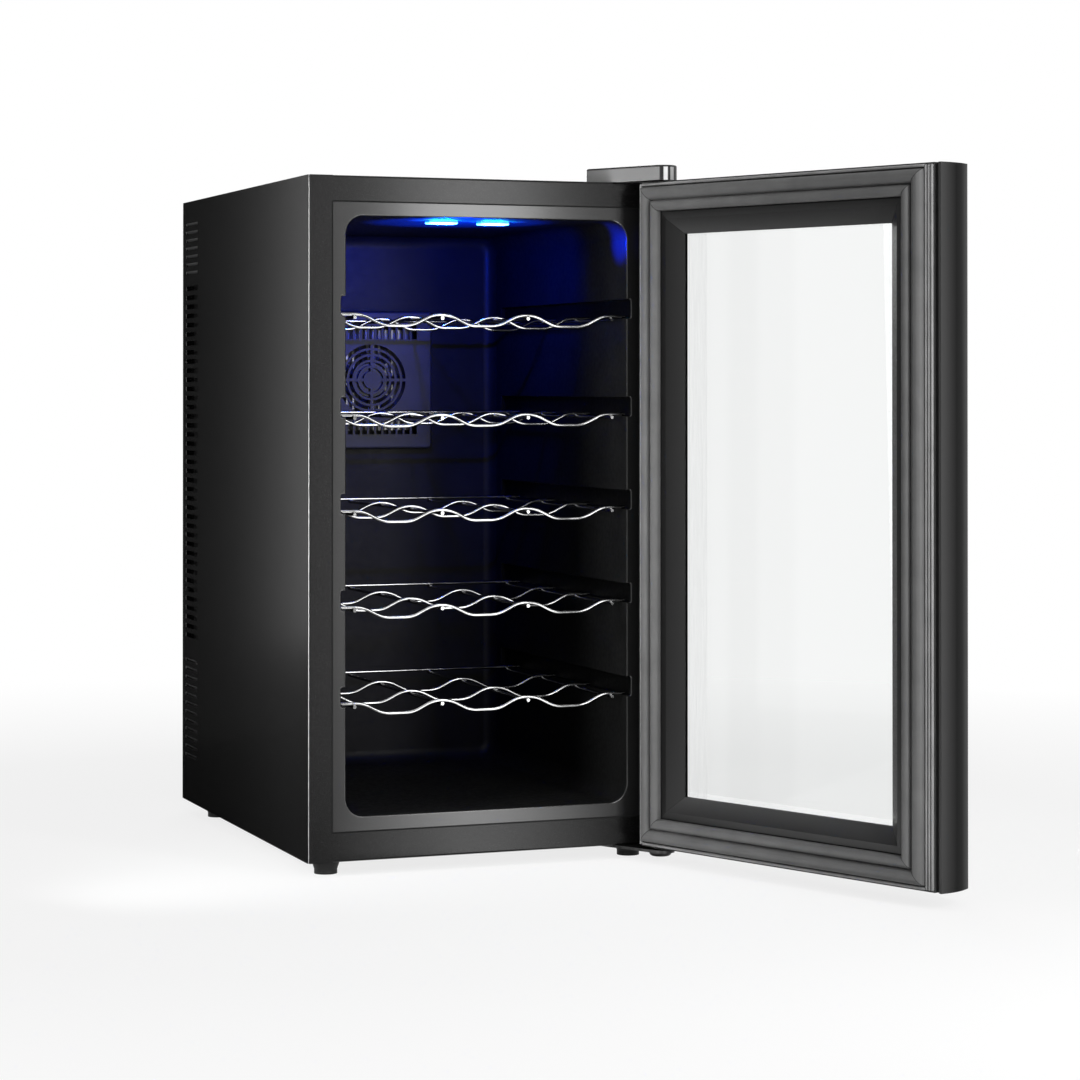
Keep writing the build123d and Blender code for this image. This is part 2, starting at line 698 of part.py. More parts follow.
def hot_fan_place():
    """The hot fan is fixed to the rear cover and draws air through the hot sink."""
    return Pos(0, BACK, UNIT_Z) * Rot(90, 0, 0)


def ring_slots(count, first, pitch, slot, spoke, y0, y1):
    """Concentric slots of a round grille, broken by two crossed spokes."""
    rings = Sketch()
    for i in range(count):
        inner = first + i * pitch
        rings = rings + (Circle(inner + slot) - Circle(inner))
    reach = 2 * (first + count * pitch)
    rings = rings - Rectangle(reach, spoke) - Rectangle(spoke, reach)
    return deep(Pos(0, UNIT_Z) * rings, y0, y1)


def fan_cover():
    """Moulded cover over the cold fan, with two rows of slots and a round intake grille."""
    x, z = COVER_WIDTH / 2, COVER_HEIGHT / 2
    face = CAVITY_BACK - COVER_DEPTH
    shell = block(-x, x, face, CAVITY_BACK, UNIT_Z - z, UNIT_Z + z)
    shell = fillet(shell.edges().filter_by(Axis.Y), COVER_EDGE)
    shell = fillet(shell.faces().sort_by(Axis.Y)[0].edges(), COVER_EDGE - COVER_WALL)
    x, z = x - COVER_WALL, z - COVER_WALL
    hollow = block(-x, x, face + COVER_WALL, CAVITY_BACK, UNIT_Z - z, UNIT_Z + z)
    shell = shell - fillet(hollow.edges().filter_by(Axis.Y), COVER_EDGE - COVER_WALL)
    slot = Rectangle(COVER_SLOT_WIDTH, COVER_SLOT_HEIGHT)
    rows = GridLocations(COVER_SLOT_PITCH, 2 * COVER_SLOT_RISE, COVER_SLOT_COUNT, 2) * slot
    y0, y1 = face - COVER_WALL, face + 2 * COVER_WALL
    slots = [deep(Pos(0, UNIT_Z) * row, y0, y1) for row in rows]
    rings = ring_slots(
        COVER_RING_COUNT, COVER_RING_FIRST, COVER_RING_PITCH, COVER_RING_SLOT, COVER_SPOKE, y0, y1
    )
    return shell - slots - rings


def lamp_outline(grow):
    plan = RectangleRounded(LAMP_LENGTH + 2 * grow, LAMP_WIDTH + 2 * grow, LAMP_CORNER + grow)
    return Pos(0, FRONT + LAMP_OFFSET) * plan


def lens_windows(grow):
    lens = Rectangle(LENS_LENGTH + 2 * grow, LENS_WIDTH + 2 * grow)
    return [Pos(x, FRONT + LAMP_OFFSET) * lens for x in (-LENS_SPACING / 2, LENS_SPACING / 2)]


def lamp_housing():
    """Shallow lamp tray flush with the ceiling, open upwards, with two windows."""
    face, back = CAVITY_CEILING, CAVITY_CEILING + LAMP_DEPTH
    tray = tall(lamp_outline(0), face, back)
    tray = tray - tall(lamp_outline(-LAMP_WALL), face + LAMP_WALL, back)
    return tray - [tall(window, face - LAMP_WALL, back) for window in lens_windows(0)]


def lamp_lens(window, rim):
    """A diffuser that hangs through its window from a flange, with its lower edges rounded."""
    floor = CAVITY_CEILING + LAMP_WALL
    lens = tall(window, CAVITY_CEILING - LENS_DROP, floor)
    lens = fillet(lens.faces().sort_by(Axis.Z)[0].edges(), LENS_ROUND)
    return lens + tall(rim, floor, floor + LAMP_WALL)


def lamp_lenses():
    return [lamp_lens(window, rim) for window, rim in zip(lens_windows(0), lens_windows(LENS_FLANGE))]


def lamp_board():
    """Circuit board behind the diffusers, with the light sources."""
    floor = CAVITY_CEILING + 2 * LAMP_WALL
    return tall(lamp_outline(-2 * LAMP_WALL), floor, floor + LAMP_BOARD_T)


def power_tray():
    """Open tray on the back plate with four posts for the power board."""
    x, z = TRAY_WIDTH / 2, TRAY_HEIGHT / 2
    middle = BOTTOM + TRAY_RISE
    y0 = CHAMBER + SHEET
    tray = block(-x, x, y0, y0 + TRAY_DEPTH, middle - z, middle + z)
    x, z = x - TRAY_WALL, z - TRAY_WALL
    tray = tray - block(-x, x, y0 + TRAY_WALL, y0 + TRAY_DEPTH, middle - z, middle + z)
    px, pz = x - 2 * TRAY_POST_RADIUS, z - 2 * TRAY_POST_RADIUS
    floor = y0 + TRAY_WALL
    posts = [
        bar(a, middle + b, floor, floor + TRAY_POST, TRAY_POST_RADIUS)
        for a in (-px, px)
        for b in (-pz, pz)
    ]
    return tray + posts


def power_board():
    """Supply board with its transformer and two capacitors."""
    middle = BOTTOM + TRAY_RISE
    x = TRAY_WIDTH / 2 - TRAY_WALL - BOARD_MARGIN
    z = TRAY_HEIGHT / 2 - TRAY_WALL - BOARD_MARGIN
    y0 = CHAMBER + SHEET + TRAY_WALL + TRAY_POST
    y1 = y0 + BOARD_T
    board = block(-x, x, y0, y1, middle - z, middle + z)
    w, d, h = TRANSFORMER
    transformer = block(-x / 2 - w / 2, -x / 2 + w / 2, y1, y1 + d, middle - h / 2, middle + h / 2)
    capacitors = [
        bar(x / 2, middle + side * z / 2, y1, y1 + CAPACITOR_HEIGHT, CAPACITOR_RADIUS) for side in (-1, 1)
    ]
    return board + transformer + capacitors


def inlet_outline(grow):
    x, z = INLET_WIDTH / 2 + grow, INLET_HEIGHT / 2 + grow
    middle = BOTTOM + INLET_RISE
    return rounded_area(INLET_X - x, INLET_X + x, middle - z, middle + z, INLET_CORNER)


def power_inlet():
    """Recessed appliance inlet with a flange outside the rear cover."""
    outside = BACK + REAR_COVER_T
    body = deep(inlet_outline(0), outside - INLET_DEPTH, outside)
    flange = deep(inlet_outline(INLET_FLANGE), outside, outside + INLET_FLANGE_T)
    floor = outside - INLET_DEPTH + INLET_WALL
    return body + flange - deep(inlet_outline(-INLET_WALL), floor, outside + INLET_FLANGE_T)


def inlet_pins():
    """Three flat contacts that stand on the inlet's floor, the middle one lower."""
    floor = BACK + REAR_COVER_T - INLET_DEPTH + INLET_WALL
    w, d, h = INLET_PIN
    middle = BOTTOM + INLET_RISE
    places = [(-INLET_PIN_SPREAD, 1), (0, -1), (INLET_PIN_SPREAD, 1)]
    pins = []
    for dx, side in places:
        x, z = INLET_X + dx, middle + side * INLET_PIN_DROP
        pins.append(block(x - w / 2, x + w / 2, floor, floor + d, z - h / 2, z + h / 2))
    return pins


def power_lead():
    """Lead from the power tray up to the hot sink, lying against the back plate."""
    y = CHAMBER + SHEET + LEAD_RADIUS
    start = BOTTOM + TRAY_RISE + TRAY_HEIGHT / 2
    end = UNIT_Z - HOT_SINK_HEIGHT / 2
    middle = (start + end) / 2
    inward = LEAD_SIDE - HOT_SINK_WIDTH / 4
    route = FilletPolyline(
        (LEAD_SIDE, y, start),
        (LEAD_SIDE, y, middle - inward),
        (LEAD_SIDE - inward, y, middle),
        (LEAD_SIDE - inward, y, end),
        radius=LEAD_BEND,
    )
    return sweep(Plane(origin=route @ 0, z_dir=route % 0) * Circle(LEAD_RADIUS), route)


def rear_screw_places():
    x = CABINET_HALF - REAR_RETURN / 2
    low, high = BOTTOM + BASE_RETURN, TOP - TOP_RETURN
    step = (high - low) / (REAR_SCREWS_A_SIDE - 1)
    return [(side * x, low + i * step) for i in range(REAR_SCREWS_A_SIDE) for side in (-1, 1)]


def rear_screw_holes():
    return [
        bar(x, z, BACK - 2 * SHEET, BACK + 2 * REAR_COVER_T, SCREW_RADIUS + SCREW_FIT)
        for x, z in rear_screw_places()
    ]


def rear_sheet(low, high):
    """A flat sheet over the rear compartment, drilled for its screws."""
    x = CABINET_HALF - REAR_COVER_MARGIN
    return block(-x, x, BACK, BACK + REAR_COVER_T, low, high) - rear_screw_holes()


def inlet_panel():
    """Lower rear sheet with the cut-out for the inlet."""
    low = BOTTOM + REAR_COVER_MARGIN
    cut_out = deep(inlet_outline(SCREW_FIT), BACK - SHEET, BACK + REAR_COVER_T + SHEET)
    return rear_sheet(low, low + INLET_PANEL_HEIGHT) - cut_out


def rear_cover():
    """Upper rear sheet with the fan grille and two fields of slots."""
    low = BOTTOM + REAR_COVER_MARGIN + INLET_PANEL_HEIGHT + REAR_COVER_GAP
    cover = rear_sheet(low, TOP - REAR_COVER_MARGIN)
    y0, y1 = BACK, BACK + REAR_COVER_T
    slot = Rectangle(REAR_SLOT_WIDTH, REAR_SLOT_LENGTH)
    fields = []
    for rise in (CABINET_HEIGHT - REAR_UPPER_SLOTS_DROP, REAR_LOWER_SLOTS_RISE):
        row = GridLocations(REAR_SLOT_PITCH, REAR_SLOT_LENGTH, REAR_SLOT_COUNT, 1)
        row = Pos(0, BOTTOM + rise) * row
        fields += [deep(place, y0 - SHEET, y1 + SHEET) for place in row * slot]
    grille = ring_slots(
        GRILLE_RING_COUNT,
        GRILLE_RING_FIRST,
        GRILLE_RING_PITCH,
        GRILLE_RING_SLOT,
        GRILLE_SPOKE,
        y0 - SHEET,
        y1 + SHEET,
    )
    return cover - fields - grille


def rear_cover_screws():
    face = BACK + REAR_COVER_T
    return [
        bar(x, z, BACK - 2 * SHEET, face, SCREW_RADIUS)
        + bar(x, z, face, face + SCREW_HEAD_T, SCREW_HEAD_RADIUS)
        for x, z in rear_screw_places()
    ]


def hinge_plan(grow):
    """Plan of a hinge: a body round its screws that tapers to a round nose over the door."""
    left = CABINET_HALF - HINGE_SIDE_MARGIN - HINGE_BODY_WIDTH
    corner_place = Pos(left + HINGE_CORNER, FRONT + HINGE_BODY_FRONT + HINGE_CORNER)
    nose_place = Pos(CABINET_HALF - HINGE_NOSE_SIDE, FRONT - HINGE_NOSE_FORWARD)
    edges = (nose_place * Circle(HINGE_NOSE_RADIUS + grow)).edges()
    edges = edges + (corner_place * Circle(HINGE_CORNER + grow)).edges()
    for x, y in hinge_screw_places():
        edges = edges + (Pos(x, y) * Circle(hinge_screw_margin() + grow)).edges()
    return make_hull(edges)


def hinge_screw_margin():
    return HINGE_CORNER + HINGE_SCREW_HEAD_RADIUS + HINGE_COVER_WALL


def hinge_screw_places():
    """Three screws behind the front right foot's insert, two abreast and one further back."""
    right = CABINET_HALF - HINGE_SIDE_MARGIN
    left = right - HINGE_BODY_WIDTH
    margin = hinge_screw_margin()
    near = -FOOT_Y + INSERT_RADIUS + BACKING_GAP + BACKING_MARGIN
    far = near + HINGE_SCREW_ROWS
    return [(left + HINGE_SCREW_SIDE, near), (right - margin, near), ((left + right) / 2, far)]


def backing_envelopes():
    """Tapped plates in the foam behind the top and base sheets, one under each hinge."""
    xs = [x for x, y in hinge_screw_places()]
    ys = [y for x, y in hinge_screw_places()]
    x0, x1 = min(xs) - BACKING_MARGIN, max(xs) + BACKING_MARGIN
    y0, y1 = min(ys) - BACKING_MARGIN, max(ys) + BACKING_MARGIN
    return [
        block(x0, x1, y0, y1, TOP - SHEET - BACKING_T, TOP - SHEET),
        block(x0, x1, y0, y1, BOTTOM + SHEET, BOTTOM + SHEET + BACKING_T),
    ]


def hinge_backing_plates():
    holes = [
        post(x, y, z - HINGE_SCREW_LENGTH, z + HINGE_SCREW_LENGTH, HINGE_SCREW_RADIUS + SCREW_FIT)
        for z in (TOP, BOTTOM)
        for x, y in hinge_screw_places()
    ]
    return [plate - holes for plate in backing_envelopes()]


def hinge_plate(z0, z1):
    """Steel hinge plate drilled for its screws and its pin."""
    plate = tall(hinge_plan(-HINGE_COVER_WALL - HINGE_COVER_FIT), z0, z1)
    holes = [
        post(x, y, z0 - HINGE_T, z1 + HINGE_T, HINGE_SCREW_RADIUS + SCREW_FIT)
        for x, y in hinge_screw_places()
    ]
    return plate - holes - post(PIVOT_X, PIVOT_Y, z0 - HINGE_T, z1 + HINGE_T, PIN_RADIUS + PIN_FIT)


def top_hinge_plate():
    return hinge_plate(TOP, TOP + HINGE_T)


def bottom_hinge_plate():
    """The lower plate has a hole that the front right foot passes through."""
    radius = FOOT_COLLAR_RADIUS + FOOT_HOLE_CLEARANCE
    clearance = post(FOOT_X, -FOOT_Y, BOTTOM - 2 * HINGE_T, BOTTOM, radius)
    return hinge_plate(BOTTOM - HINGE_T, BOTTOM) - clearance


def hinge_screws(face, outward):
    """Three screws whose heads stand on a hinge plate's outer face."""
    head = face + outward * HINGE_SCREW_HEAD_T
    tip = face - outward * HINGE_SCREW_LENGTH
    return [
        post(x, y, min(face, head), max(face, head), HINGE_SCREW_HEAD_RADIUS)
        + post(x, y, min(face, tip), max(face, tip), HINGE_SCREW_RADIUS)
        for x, y in hinge_screw_places()
    ]


def top_hinge_pin():
    """Headed pin, riveted in the upper hinge plate and reaching down into the door's bush."""
    face = TOP + HINGE_T
    shank = post(PIVOT_X, PIVOT_Y, DOOR_TOP - PIN_ENGAGED, face, PIN_RADIUS)
    return shank + post(PIVOT_X, PIVOT_Y, face, face + PIN_HEAD_T, PIN_HEAD_RADIUS)


def bottom_hinge_pin():
    """Lower pin, whose wide domed head stands below the plate and carries the door's weight."""
    face = BOTTOM - HINGE_T
    head = post(PIVOT_X, PIVOT_Y, face - LOWER_HEAD_T, face, LOWER_HEAD_RADIUS)
    head = fillet(head.faces().sort_by(Axis.Z)[0].edges(), LOWER_HEAD_ROUND)
    return head + post(PIVOT_X, PIVOT_Y, face, DOOR_BOTTOM + PIN_ENGAGED, PIN_RADIUS)


def top_hinge_cover():
    """Moulded cap over the upper hinge, open underneath."""
    cap = tall(hinge_plan(0), TOP, TOP + HINGE_COVER_HEIGHT)
    cap = fillet(cap.faces().sort_by(Axis.Z)[-1].edges(), HINGE_COVER_EDGE)
    return cap - tall(hinge_plan(-HINGE_COVER_WALL), TOP, TOP + HINGE_COVER_HEIGHT - HINGE_COVER_WALL)


def hinge_washer():
    """Thrust washer on the lower pin that carries the door."""
    z1 = DOOR_BOTTOM - WASHER_CLEARANCE
    return post(PIVOT_X, PIVOT_Y, BOTTOM, z1, WASHER_RADIUS) - post(
        PIVOT_X, PIVOT_Y, BOTTOM - HINGE_T, DOOR_BOTTOM, PIN_RADIUS + PIN_FIT
    )


def door_area(inset):
    """The cabinet's width by the door's height, drawn in X and Z and drawn in by inset on every side."""
    return Pos(0, DOOR_MIDDLE) * Rectangle(CABINET_WIDTH - 2 * inset, DOOR_HEIGHT - 2 * inset)


def door_ring(outer, inner, start, end):
    """A rectangular ring of the closed door, between two insets and two depths from its inner plane."""
    return deep(door_area(outer) - door_area(inner), DOOR_INNER - end, DOOR_INNER - start)


def door_funnel(outer, inner, start, end):
    """A tapered opening of the closed door, from one inset and depth to another."""
    mouth = Plane.XZ.offset(start - DOOR_INNER) * door_area(outer)
    throat = Plane.XZ.offset(end - DOOR_INNER) * door_area(inner)
    return loft([mouth, throat])


def profile_outline(channel):
    """Section of a door stile: u runs inwards from its outer edge, v forwards from the inner plane."""
    edge = PROFILE_BULGE
    bulge = ThreePointArc(
        (edge, 0), (0, DOOR_T / 2 - PROFILE_BULGE), (edge + PROFILE_BULGE, DOOR_T - PROFILE_FRONT_ROUND)
    )
    shoulder = TangentArc(bulge @ 1, (PROFILE_FRONT_ROUND + 2 * edge, DOOR_T), tangent=bulge % 1)
    rest = Polyline(shoulder @ 1, (PROFILE_WIDTH, DOOR_T), (PROFILE_WIDTH, 0), (edge, 0))
    section = make_face([bulge, shoulder, rest])
    if channel:
        u0 = edge + PROFILE_EDGE_FLAT
        section = section - area(u0, u0 + PROFILE_CHANNEL_WIDTH, 0, PROFILE_CHANNEL_DEPTH)
    return section


def handle_profile():
    """Stile on the free edge, standing past the cabinet's side as a grip, with a shallow finger channel."""
    edge = -CABINET_HALF - HANDLE_OVERHANG
    section = Pos(edge, DOOR_INNER) * mirror(profile_outline(True), about=Plane.XZ)
    return tall(section, DOOR_BOTTOM, DOOR_TOP)


def hinge_profile():
    """Stile on the hinge edge, bored at both ends for the bushes."""
    section = Pos(CABINET_HALF, DOOR_INNER) * Rot(0, 0, 180) * profile_outline(False)
    stile = tall(section, DOOR_BOTTOM, DOOR_TOP)
    fit = BUSH_RADIUS + PIN_FIT
    lower = post(PIVOT_X, PIVOT_Y, DOOR_BOTTOM, DOOR_BOTTOM + BUSH_LENGTH, fit)
    upper = post(PIVOT_X, PIVOT_Y, DOOR_TOP - BUSH_LENGTH, DOOR_TOP, fit)
    return stile - lower - upper


def door_bush(z0, z1):
    sleeve = post(PIVOT_X, PIVOT_Y, z0, z1, BUSH_RADIUS)
    return sleeve - post(PIVOT_X, PIVOT_Y, z0, z1, PIN_RADIUS + PIN_FIT)


def front_glass_area(grow):
    z = DOOR_HEIGHT / 2 - FRONT_GLASS_LIP + grow
    return area(FRAME_LEFT - grow, FRAME_RIGHT + grow, DOOR_MIDDLE - z, DOOR_MIDDLE + z)


def control_pocket():
    """Recess for the control board in the top rail, behind the front glass."""
    x = CONTROL_WIDTH / 2 + CONTROL_POCKET_MARGIN
    z = CONTROL_HEIGHT / 2 + CONTROL_POCKET_MARGIN
    middle = DOOR_TOP - CONTROL_DROP
    floor = DOOR_OUTER + FRONT_GLASS_SET + GLASS_T
    depth = DISPLAY_T + CONTROL_BOARD_T + CHIP[1] + CONTROL_POCKET_MARGIN
    return block(-x, x, floor, floor + depth, middle - z, middle + z)


def door_frame():
    """Moulded frame between the stiles, rebated for both panes and grooved for the seal."""
    frame = deep(area(FRAME_LEFT, FRAME_RIGHT, DOOR_BOTTOM, DOOR_TOP), DOOR_OUTER, DOOR_INNER)
    frame = frame - deep(door_area(SPACER_INSET), DOOR_OUTER, DOOR_INNER)
    frame = frame - deep(front_glass_area(0), DOOR_OUTER, DOOR_OUTER + FRONT_GLASS_SET + GLASS_T)
    frame = frame - deep(door_area(INNER_GLASS_INSET), DOOR_INNER - INNER_GLASS_SET - GLASS_T, DOOR_INNER)
    half = DART_WIDTH / 2 + DART_CLEARANCE
    groove = door_ring(DART_MIDDLE - half, DART_MIDDLE + half, 0, DART_DEPTH + DART_CLEARANCE)
    return frame - groove - control_pocket()


def outer_glass():
    """Front pane, bedded in the frame between the stiles."""
    y0 = DOOR_OUTER + FRONT_GLASS_SET
    return deep(front_glass_area(-GLASS_CLEARANCE), y0, y0 + GLASS_T)


def inner_glass():
    """Rear pane of the double glazing."""
    y1 = DOOR_INNER - INNER_GLASS_SET
    return deep(door_area(INNER_GLASS_INSET + GLASS_CLEARANCE), y1 - GLASS_T, y1)


def pane_spacer():
    """Metal spacer that holds the two panes apart."""
    glass_back = DOOR_T - FRONT_GLASS_SET - GLASS_T
    return door_ring(SPACER_INSET, VIEW_INSET, INNER_GLASS_SET + GLASS_T, glass_back)


def inner_bezel():
    """Bead that clamps the rear pane, with faces sloping in to the recessed glass."""
    leg = door_ring(INNER_GLASS_INSET + GLASS_CLEARANCE, VIEW_INSET, 0, INNER_GLASS_SET)
    flange = door_ring(BEZEL_INSET, VIEW_INSET, -BEZEL_PROUD, 0)
    slope = door_funnel(BEZEL_INSET + BEZEL_LAND, VIEW_INSET, -BEZEL_PROUD, INNER_GLASS_SET - BEZEL_LIP)
    bead = leg + flange - slope
    face = bead.faces().sort_by(Axis.Y)[-1]
    return fillet(face.outer_wire().edges(), BEZEL_EDGE)


def gasket_lobe(inset, width):
    """One rounded lobe of the seal, from the door's inner plane out to the cabinet."""
    lobe = door_ring(inset, inset + width, GASKET_CLEARANCE - GASKET_GAP, 0)
    return fillet(lobe.faces().sort_by(Axis.Y)[-1].edges(), (width - LOBE_CREST) / 2)


def gasket():
    """Magnetic seal: two lobes on a common base, with a dart pressed in the frame's groove."""
    seal = door_ring(GASKET_INSET, SEAL_INNER_INSET, -GASKET_BASE_T, 0)
    seal = seal + gasket_lobe(GASKET_INSET, OUTER_LOBE_WIDTH)
    seal = seal + gasket_lobe(INNER_LOBE_INSET, INNER_LOBE_WIDTH)
    seal = seal + door_ring(DART_MIDDLE - DART_WIDTH / 2, DART_MIDDLE + DART_WIDTH / 2, 0, DART_DEPTH)
    channel = MAGNET_WIDTH / 2 + MAGNET_CLEARANCE
    middle = GASKET_INSET + OUTER_LOBE_WIDTH / 2
    depth = GASKET_GAP - GASKET_CLEARANCE - MAGNET_COVER
    return seal - door_ring(middle - channel, middle + channel, -depth, 0)


def gasket_magnets():
    """Four magnet strips lying under the sealing face of the outer lobe."""
    middle = GASKET_INSET + OUTER_LOBE_WIDTH / 2
    outer, inner = middle - MAGNET_WIDTH / 2, middle + MAGNET_WIDTH / 2
    y1 = FRONT - GASKET_CLEARANCE - MAGNET_COVER
    x0, x1 = CABINET_HALF - outer, CABINET_HALF - inner
    z0, z1 = DOOR_BOTTOM + outer, DOOR_BOTTOM + inner
    z2, z3 = DOOR_TOP - inner, DOOR_TOP - outer
    y0 = y1 - MAGNET_T
    return [
        block(-x0, -x1, y0, y1, z0, z3),
        block(x1, x0, y0, y1, z0, z3),
        block(-x1, x1, y0, y1, z0, z1),
        block(-x1, x1, y0, y1, z2, z3),
    ]


def control_board():
    """Touch board: a display and four touch springs against the glass, and a chip behind."""
    glass_back = DOOR_OUTER + FRONT_GLASS_SET + GLASS_T
    board_front = glass_back + DISPLAY_T
    board_back = board_front + CONTROL_BOARD_T
    middle = DOOR_TOP - CONTROL_DROP
    x, z = CONTROL_WIDTH / 2, CONTROL_HEIGHT / 2
    board = block(-x, x, board_front, board_back, middle - z, middle + z)
    x, z = DISPLAY_WIDTH / 2, DISPLAY_HEIGHT / 2
    display = block(-x, x, glass_back, board_front, middle - z, middle + z)
    pads = [
        bar(side * (x + (i + 0.5) * TOUCH_PAD_SPACING), middle, glass_back, board_front, TOUCH_PAD_RADIUS)
        for side in (-1, 1)
        for i in range(2)
    ]
    w, d, h = CHIP
    chip = block(-w / 2, w / 2, board_back, board_back + d, middle - h / 2, middle + h / 2)
    return board + display + pads + chip


def wave_wire(y, level):
    """A cross wire with a dip for each nest, whose level ends run in the side grooves."""
    points = [(-SHELF_HALF, y, level)]
    first = -(NEST_COUNT - 1) * NEST_PITCH / 2
    for i in range(NEST_COUNT):
        centre = first + i * NEST_PITCH
        points += [
            (centre - NEST_HALF, y, level),
            (centre - NEST_FLOOR_HALF, y, level - NEST_DEPTH),
            (centre + NEST_FLOOR_HALF, y, level - NEST_DEPTH),
            (centre + NEST_HALF, y, level),
        ]
    points.append((SHELF_HALF, y, level))
    route = FilletPolyline(*points, radius=NEST_BEND)
    return sweep(Plane(origin=route @ 0, z_dir=route % 0) * Circle(WIRE_RADIUS), route)


def shelf(level):
    """Wires of a welded shelf: dipped cross wires and a rear bar over the runners."""
    waves = [wave_wire(FRONT + offset, level) for offset in WAVE_OFFSETS]
    rear = FRONT + REAR_BAR_OFFSET
    rear_bar = Pos(0, rear, level) * Rot(0, 90, 0) * Cylinder(WIRE_RADIUS, 2 * SHELF_HALF)
    start, end = FRONT + WAVE_OFFSETS[0] - WIRE_END_OVERHANG, rear + WIRE_END_OVERHANG
    under = level - 2 * WIRE_RADIUS + WELD_DEPTH
    runners = [
        bar((i - NEST_COUNT / 2) * NEST_PITCH, under, start, end, WIRE_RADIUS)
        for i in range(NEST_COUNT + 1)
    ]
    return waves + [rear_bar] + runners


def swung(part):
    """A piece of the closed door, turned about the hinge to where the door stands open."""
    hinge = Pos(PIVOT_X, PIVOT_Y, 0)
    return hinge * Rot(0, 0, DOOR_OPEN) * hinge.inverse() * part


def cabinet_nodes():
    envelope = liner_envelope()
    left = left_side_panel()
    front_left, front_right, rear_left, rear_right = [foot(x, y) for x, y in foot_places()]
    cold_fan = (COLD_FAN_SIZE, COLD_FAN_DEPTH, COLD_FAN_HUB_RADIUS)
    hot_fan = (HOT_FAN_SIZE, HOT_FAN_DEPTH, HOT_FAN_HUB_RADIUS)
    return {
        "left_side_panel": left,
        "right_side_panel": mirror(left, about=Plane.YZ),
        "top_panel": top_panel(),
        "base_pan": base_pan(),
        "front_left_foot": front_left,
        "front_right_foot": front_right,
        "rear_left_foot": rear_left,
        "rear_right_foot": rear_right,
        "foot_inserts": foot_inserts(),
        "inner_liner": inner_liner(envelope),
        "foam_insulation": foam_insulation(envelope),
        "back_plate": back_plate(),
        "cold_sink": cold_sink(),
        "cold_block": cold_block(),
        "peltier_module": peltier_module(),
        "module_seal": module_seal(),
        "hot_sink": hot_sink(),
        "cold_fan_frame": cold_fan_place() * fan_frame(*cold_fan),
        "cold_fan_rotor": cold_fan_place() * fan_rotor(*cold_fan),
        "hot_fan_frame": hot_fan_place() * fan_frame(*hot_fan),
        "hot_fan_rotor": hot_fan_place() * fan_rotor(*hot_fan),
        "fan_cover": fan_cover(),
        "lamp_housing": lamp_housing(),
        "lamp_lenses": lamp_lenses(),
        "lamp_board": lamp_board(),
        "power_tray": power_tray(),
        "power_board": power_board(),
        "power_lead": power_lead(),
        "power_inlet": power_inlet(),
        "inlet_pins": inlet_pins(),
        "inlet_panel": inlet_panel(),
        "rear_cover": rear_cover(),
        "rear_cover_screws": rear_cover_screws(),
        "hinge_backing_plates": hinge_backing_plates(),
        "top_hinge_plate": top_hinge_plate(),
        "top_hinge_screws": hinge_screws(TOP + HINGE_T, 1),
        "top_hinge_pin": top_hinge_pin(),
        "top_hinge_cover": top_hinge_cover(),
        "bottom_hinge_plate": bottom_hinge_plate(),
        "bottom_hinge_screws": hinge_screws(BOTTOM - HINGE_T, -1),
        "bottom_hinge_pin": bottom_hinge_pin(),
        "hinge_washer": hinge_washer(),
    }


def shelf_nodes():
    lowest = shelf(shelf_level(0))
    rises = [shelf_level(i) - shelf_level(0) for i in range(SHELF_COUNT)]
    return {
        f"shelf_{i + 1}": [Pos(0, 0, rise) * wire for wire in lowest] for i, rise in enumerate(rises)
    }


def door_nodes():
    closed = {
        "handle_profile": handle_profile(),
        "hinge_profile": hinge_profile(),
        "door_frame": door_frame(),
        "outer_glass": outer_glass(),
        "inner_glass": inner_glass(),
        "pane_spacer": pane_spacer(),
        "inner_bezel": inner_bezel(),
        "gasket": gasket(),
        "gasket_magnets": gasket_magnets(),
        "control_board": control_board(),
        "top_door_bush": door_bush(DOOR_TOP - BUSH_LENGTH, DOOR_TOP),
        "bottom_door_bush": door_bush(DOOR_BOTTOM, DOOR_BOTTOM + BUSH_LENGTH),
    }
    return {
        name: [swung(solid) for solid in part] if isinstance(part, list) else swung(part)
        for name, part in closed.items()
    }


os.makedirs("parts", exist_ok=True)
for name, part in {**cabinet_nodes(), **shelf_nodes(), **door_nodes()}.items():
    pieces = part if isinstance(part, list) else [part]
    solids = [solid for piece in pieces for solid in piece.solids()]
    export_step(Compound(children=solids), f"parts/{name}.step")
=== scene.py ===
import math

import bpy
from mathutils import Matrix, Vector


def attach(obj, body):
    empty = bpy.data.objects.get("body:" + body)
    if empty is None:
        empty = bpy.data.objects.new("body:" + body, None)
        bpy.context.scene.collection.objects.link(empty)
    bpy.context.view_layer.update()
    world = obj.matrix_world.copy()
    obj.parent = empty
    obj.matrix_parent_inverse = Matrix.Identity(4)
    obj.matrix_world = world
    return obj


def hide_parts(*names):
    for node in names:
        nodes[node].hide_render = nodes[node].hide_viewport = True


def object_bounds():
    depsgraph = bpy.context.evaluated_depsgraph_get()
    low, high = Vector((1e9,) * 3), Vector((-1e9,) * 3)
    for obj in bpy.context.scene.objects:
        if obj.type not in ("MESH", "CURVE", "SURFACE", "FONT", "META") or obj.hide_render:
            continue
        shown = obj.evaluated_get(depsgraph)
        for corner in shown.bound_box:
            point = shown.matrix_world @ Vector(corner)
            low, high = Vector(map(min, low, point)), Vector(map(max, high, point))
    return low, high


# A compact wine cooler with its glass door swung open, lit as a studio product picture.
# Metres, +Z up, front towards -Y, in the frame of the solids.

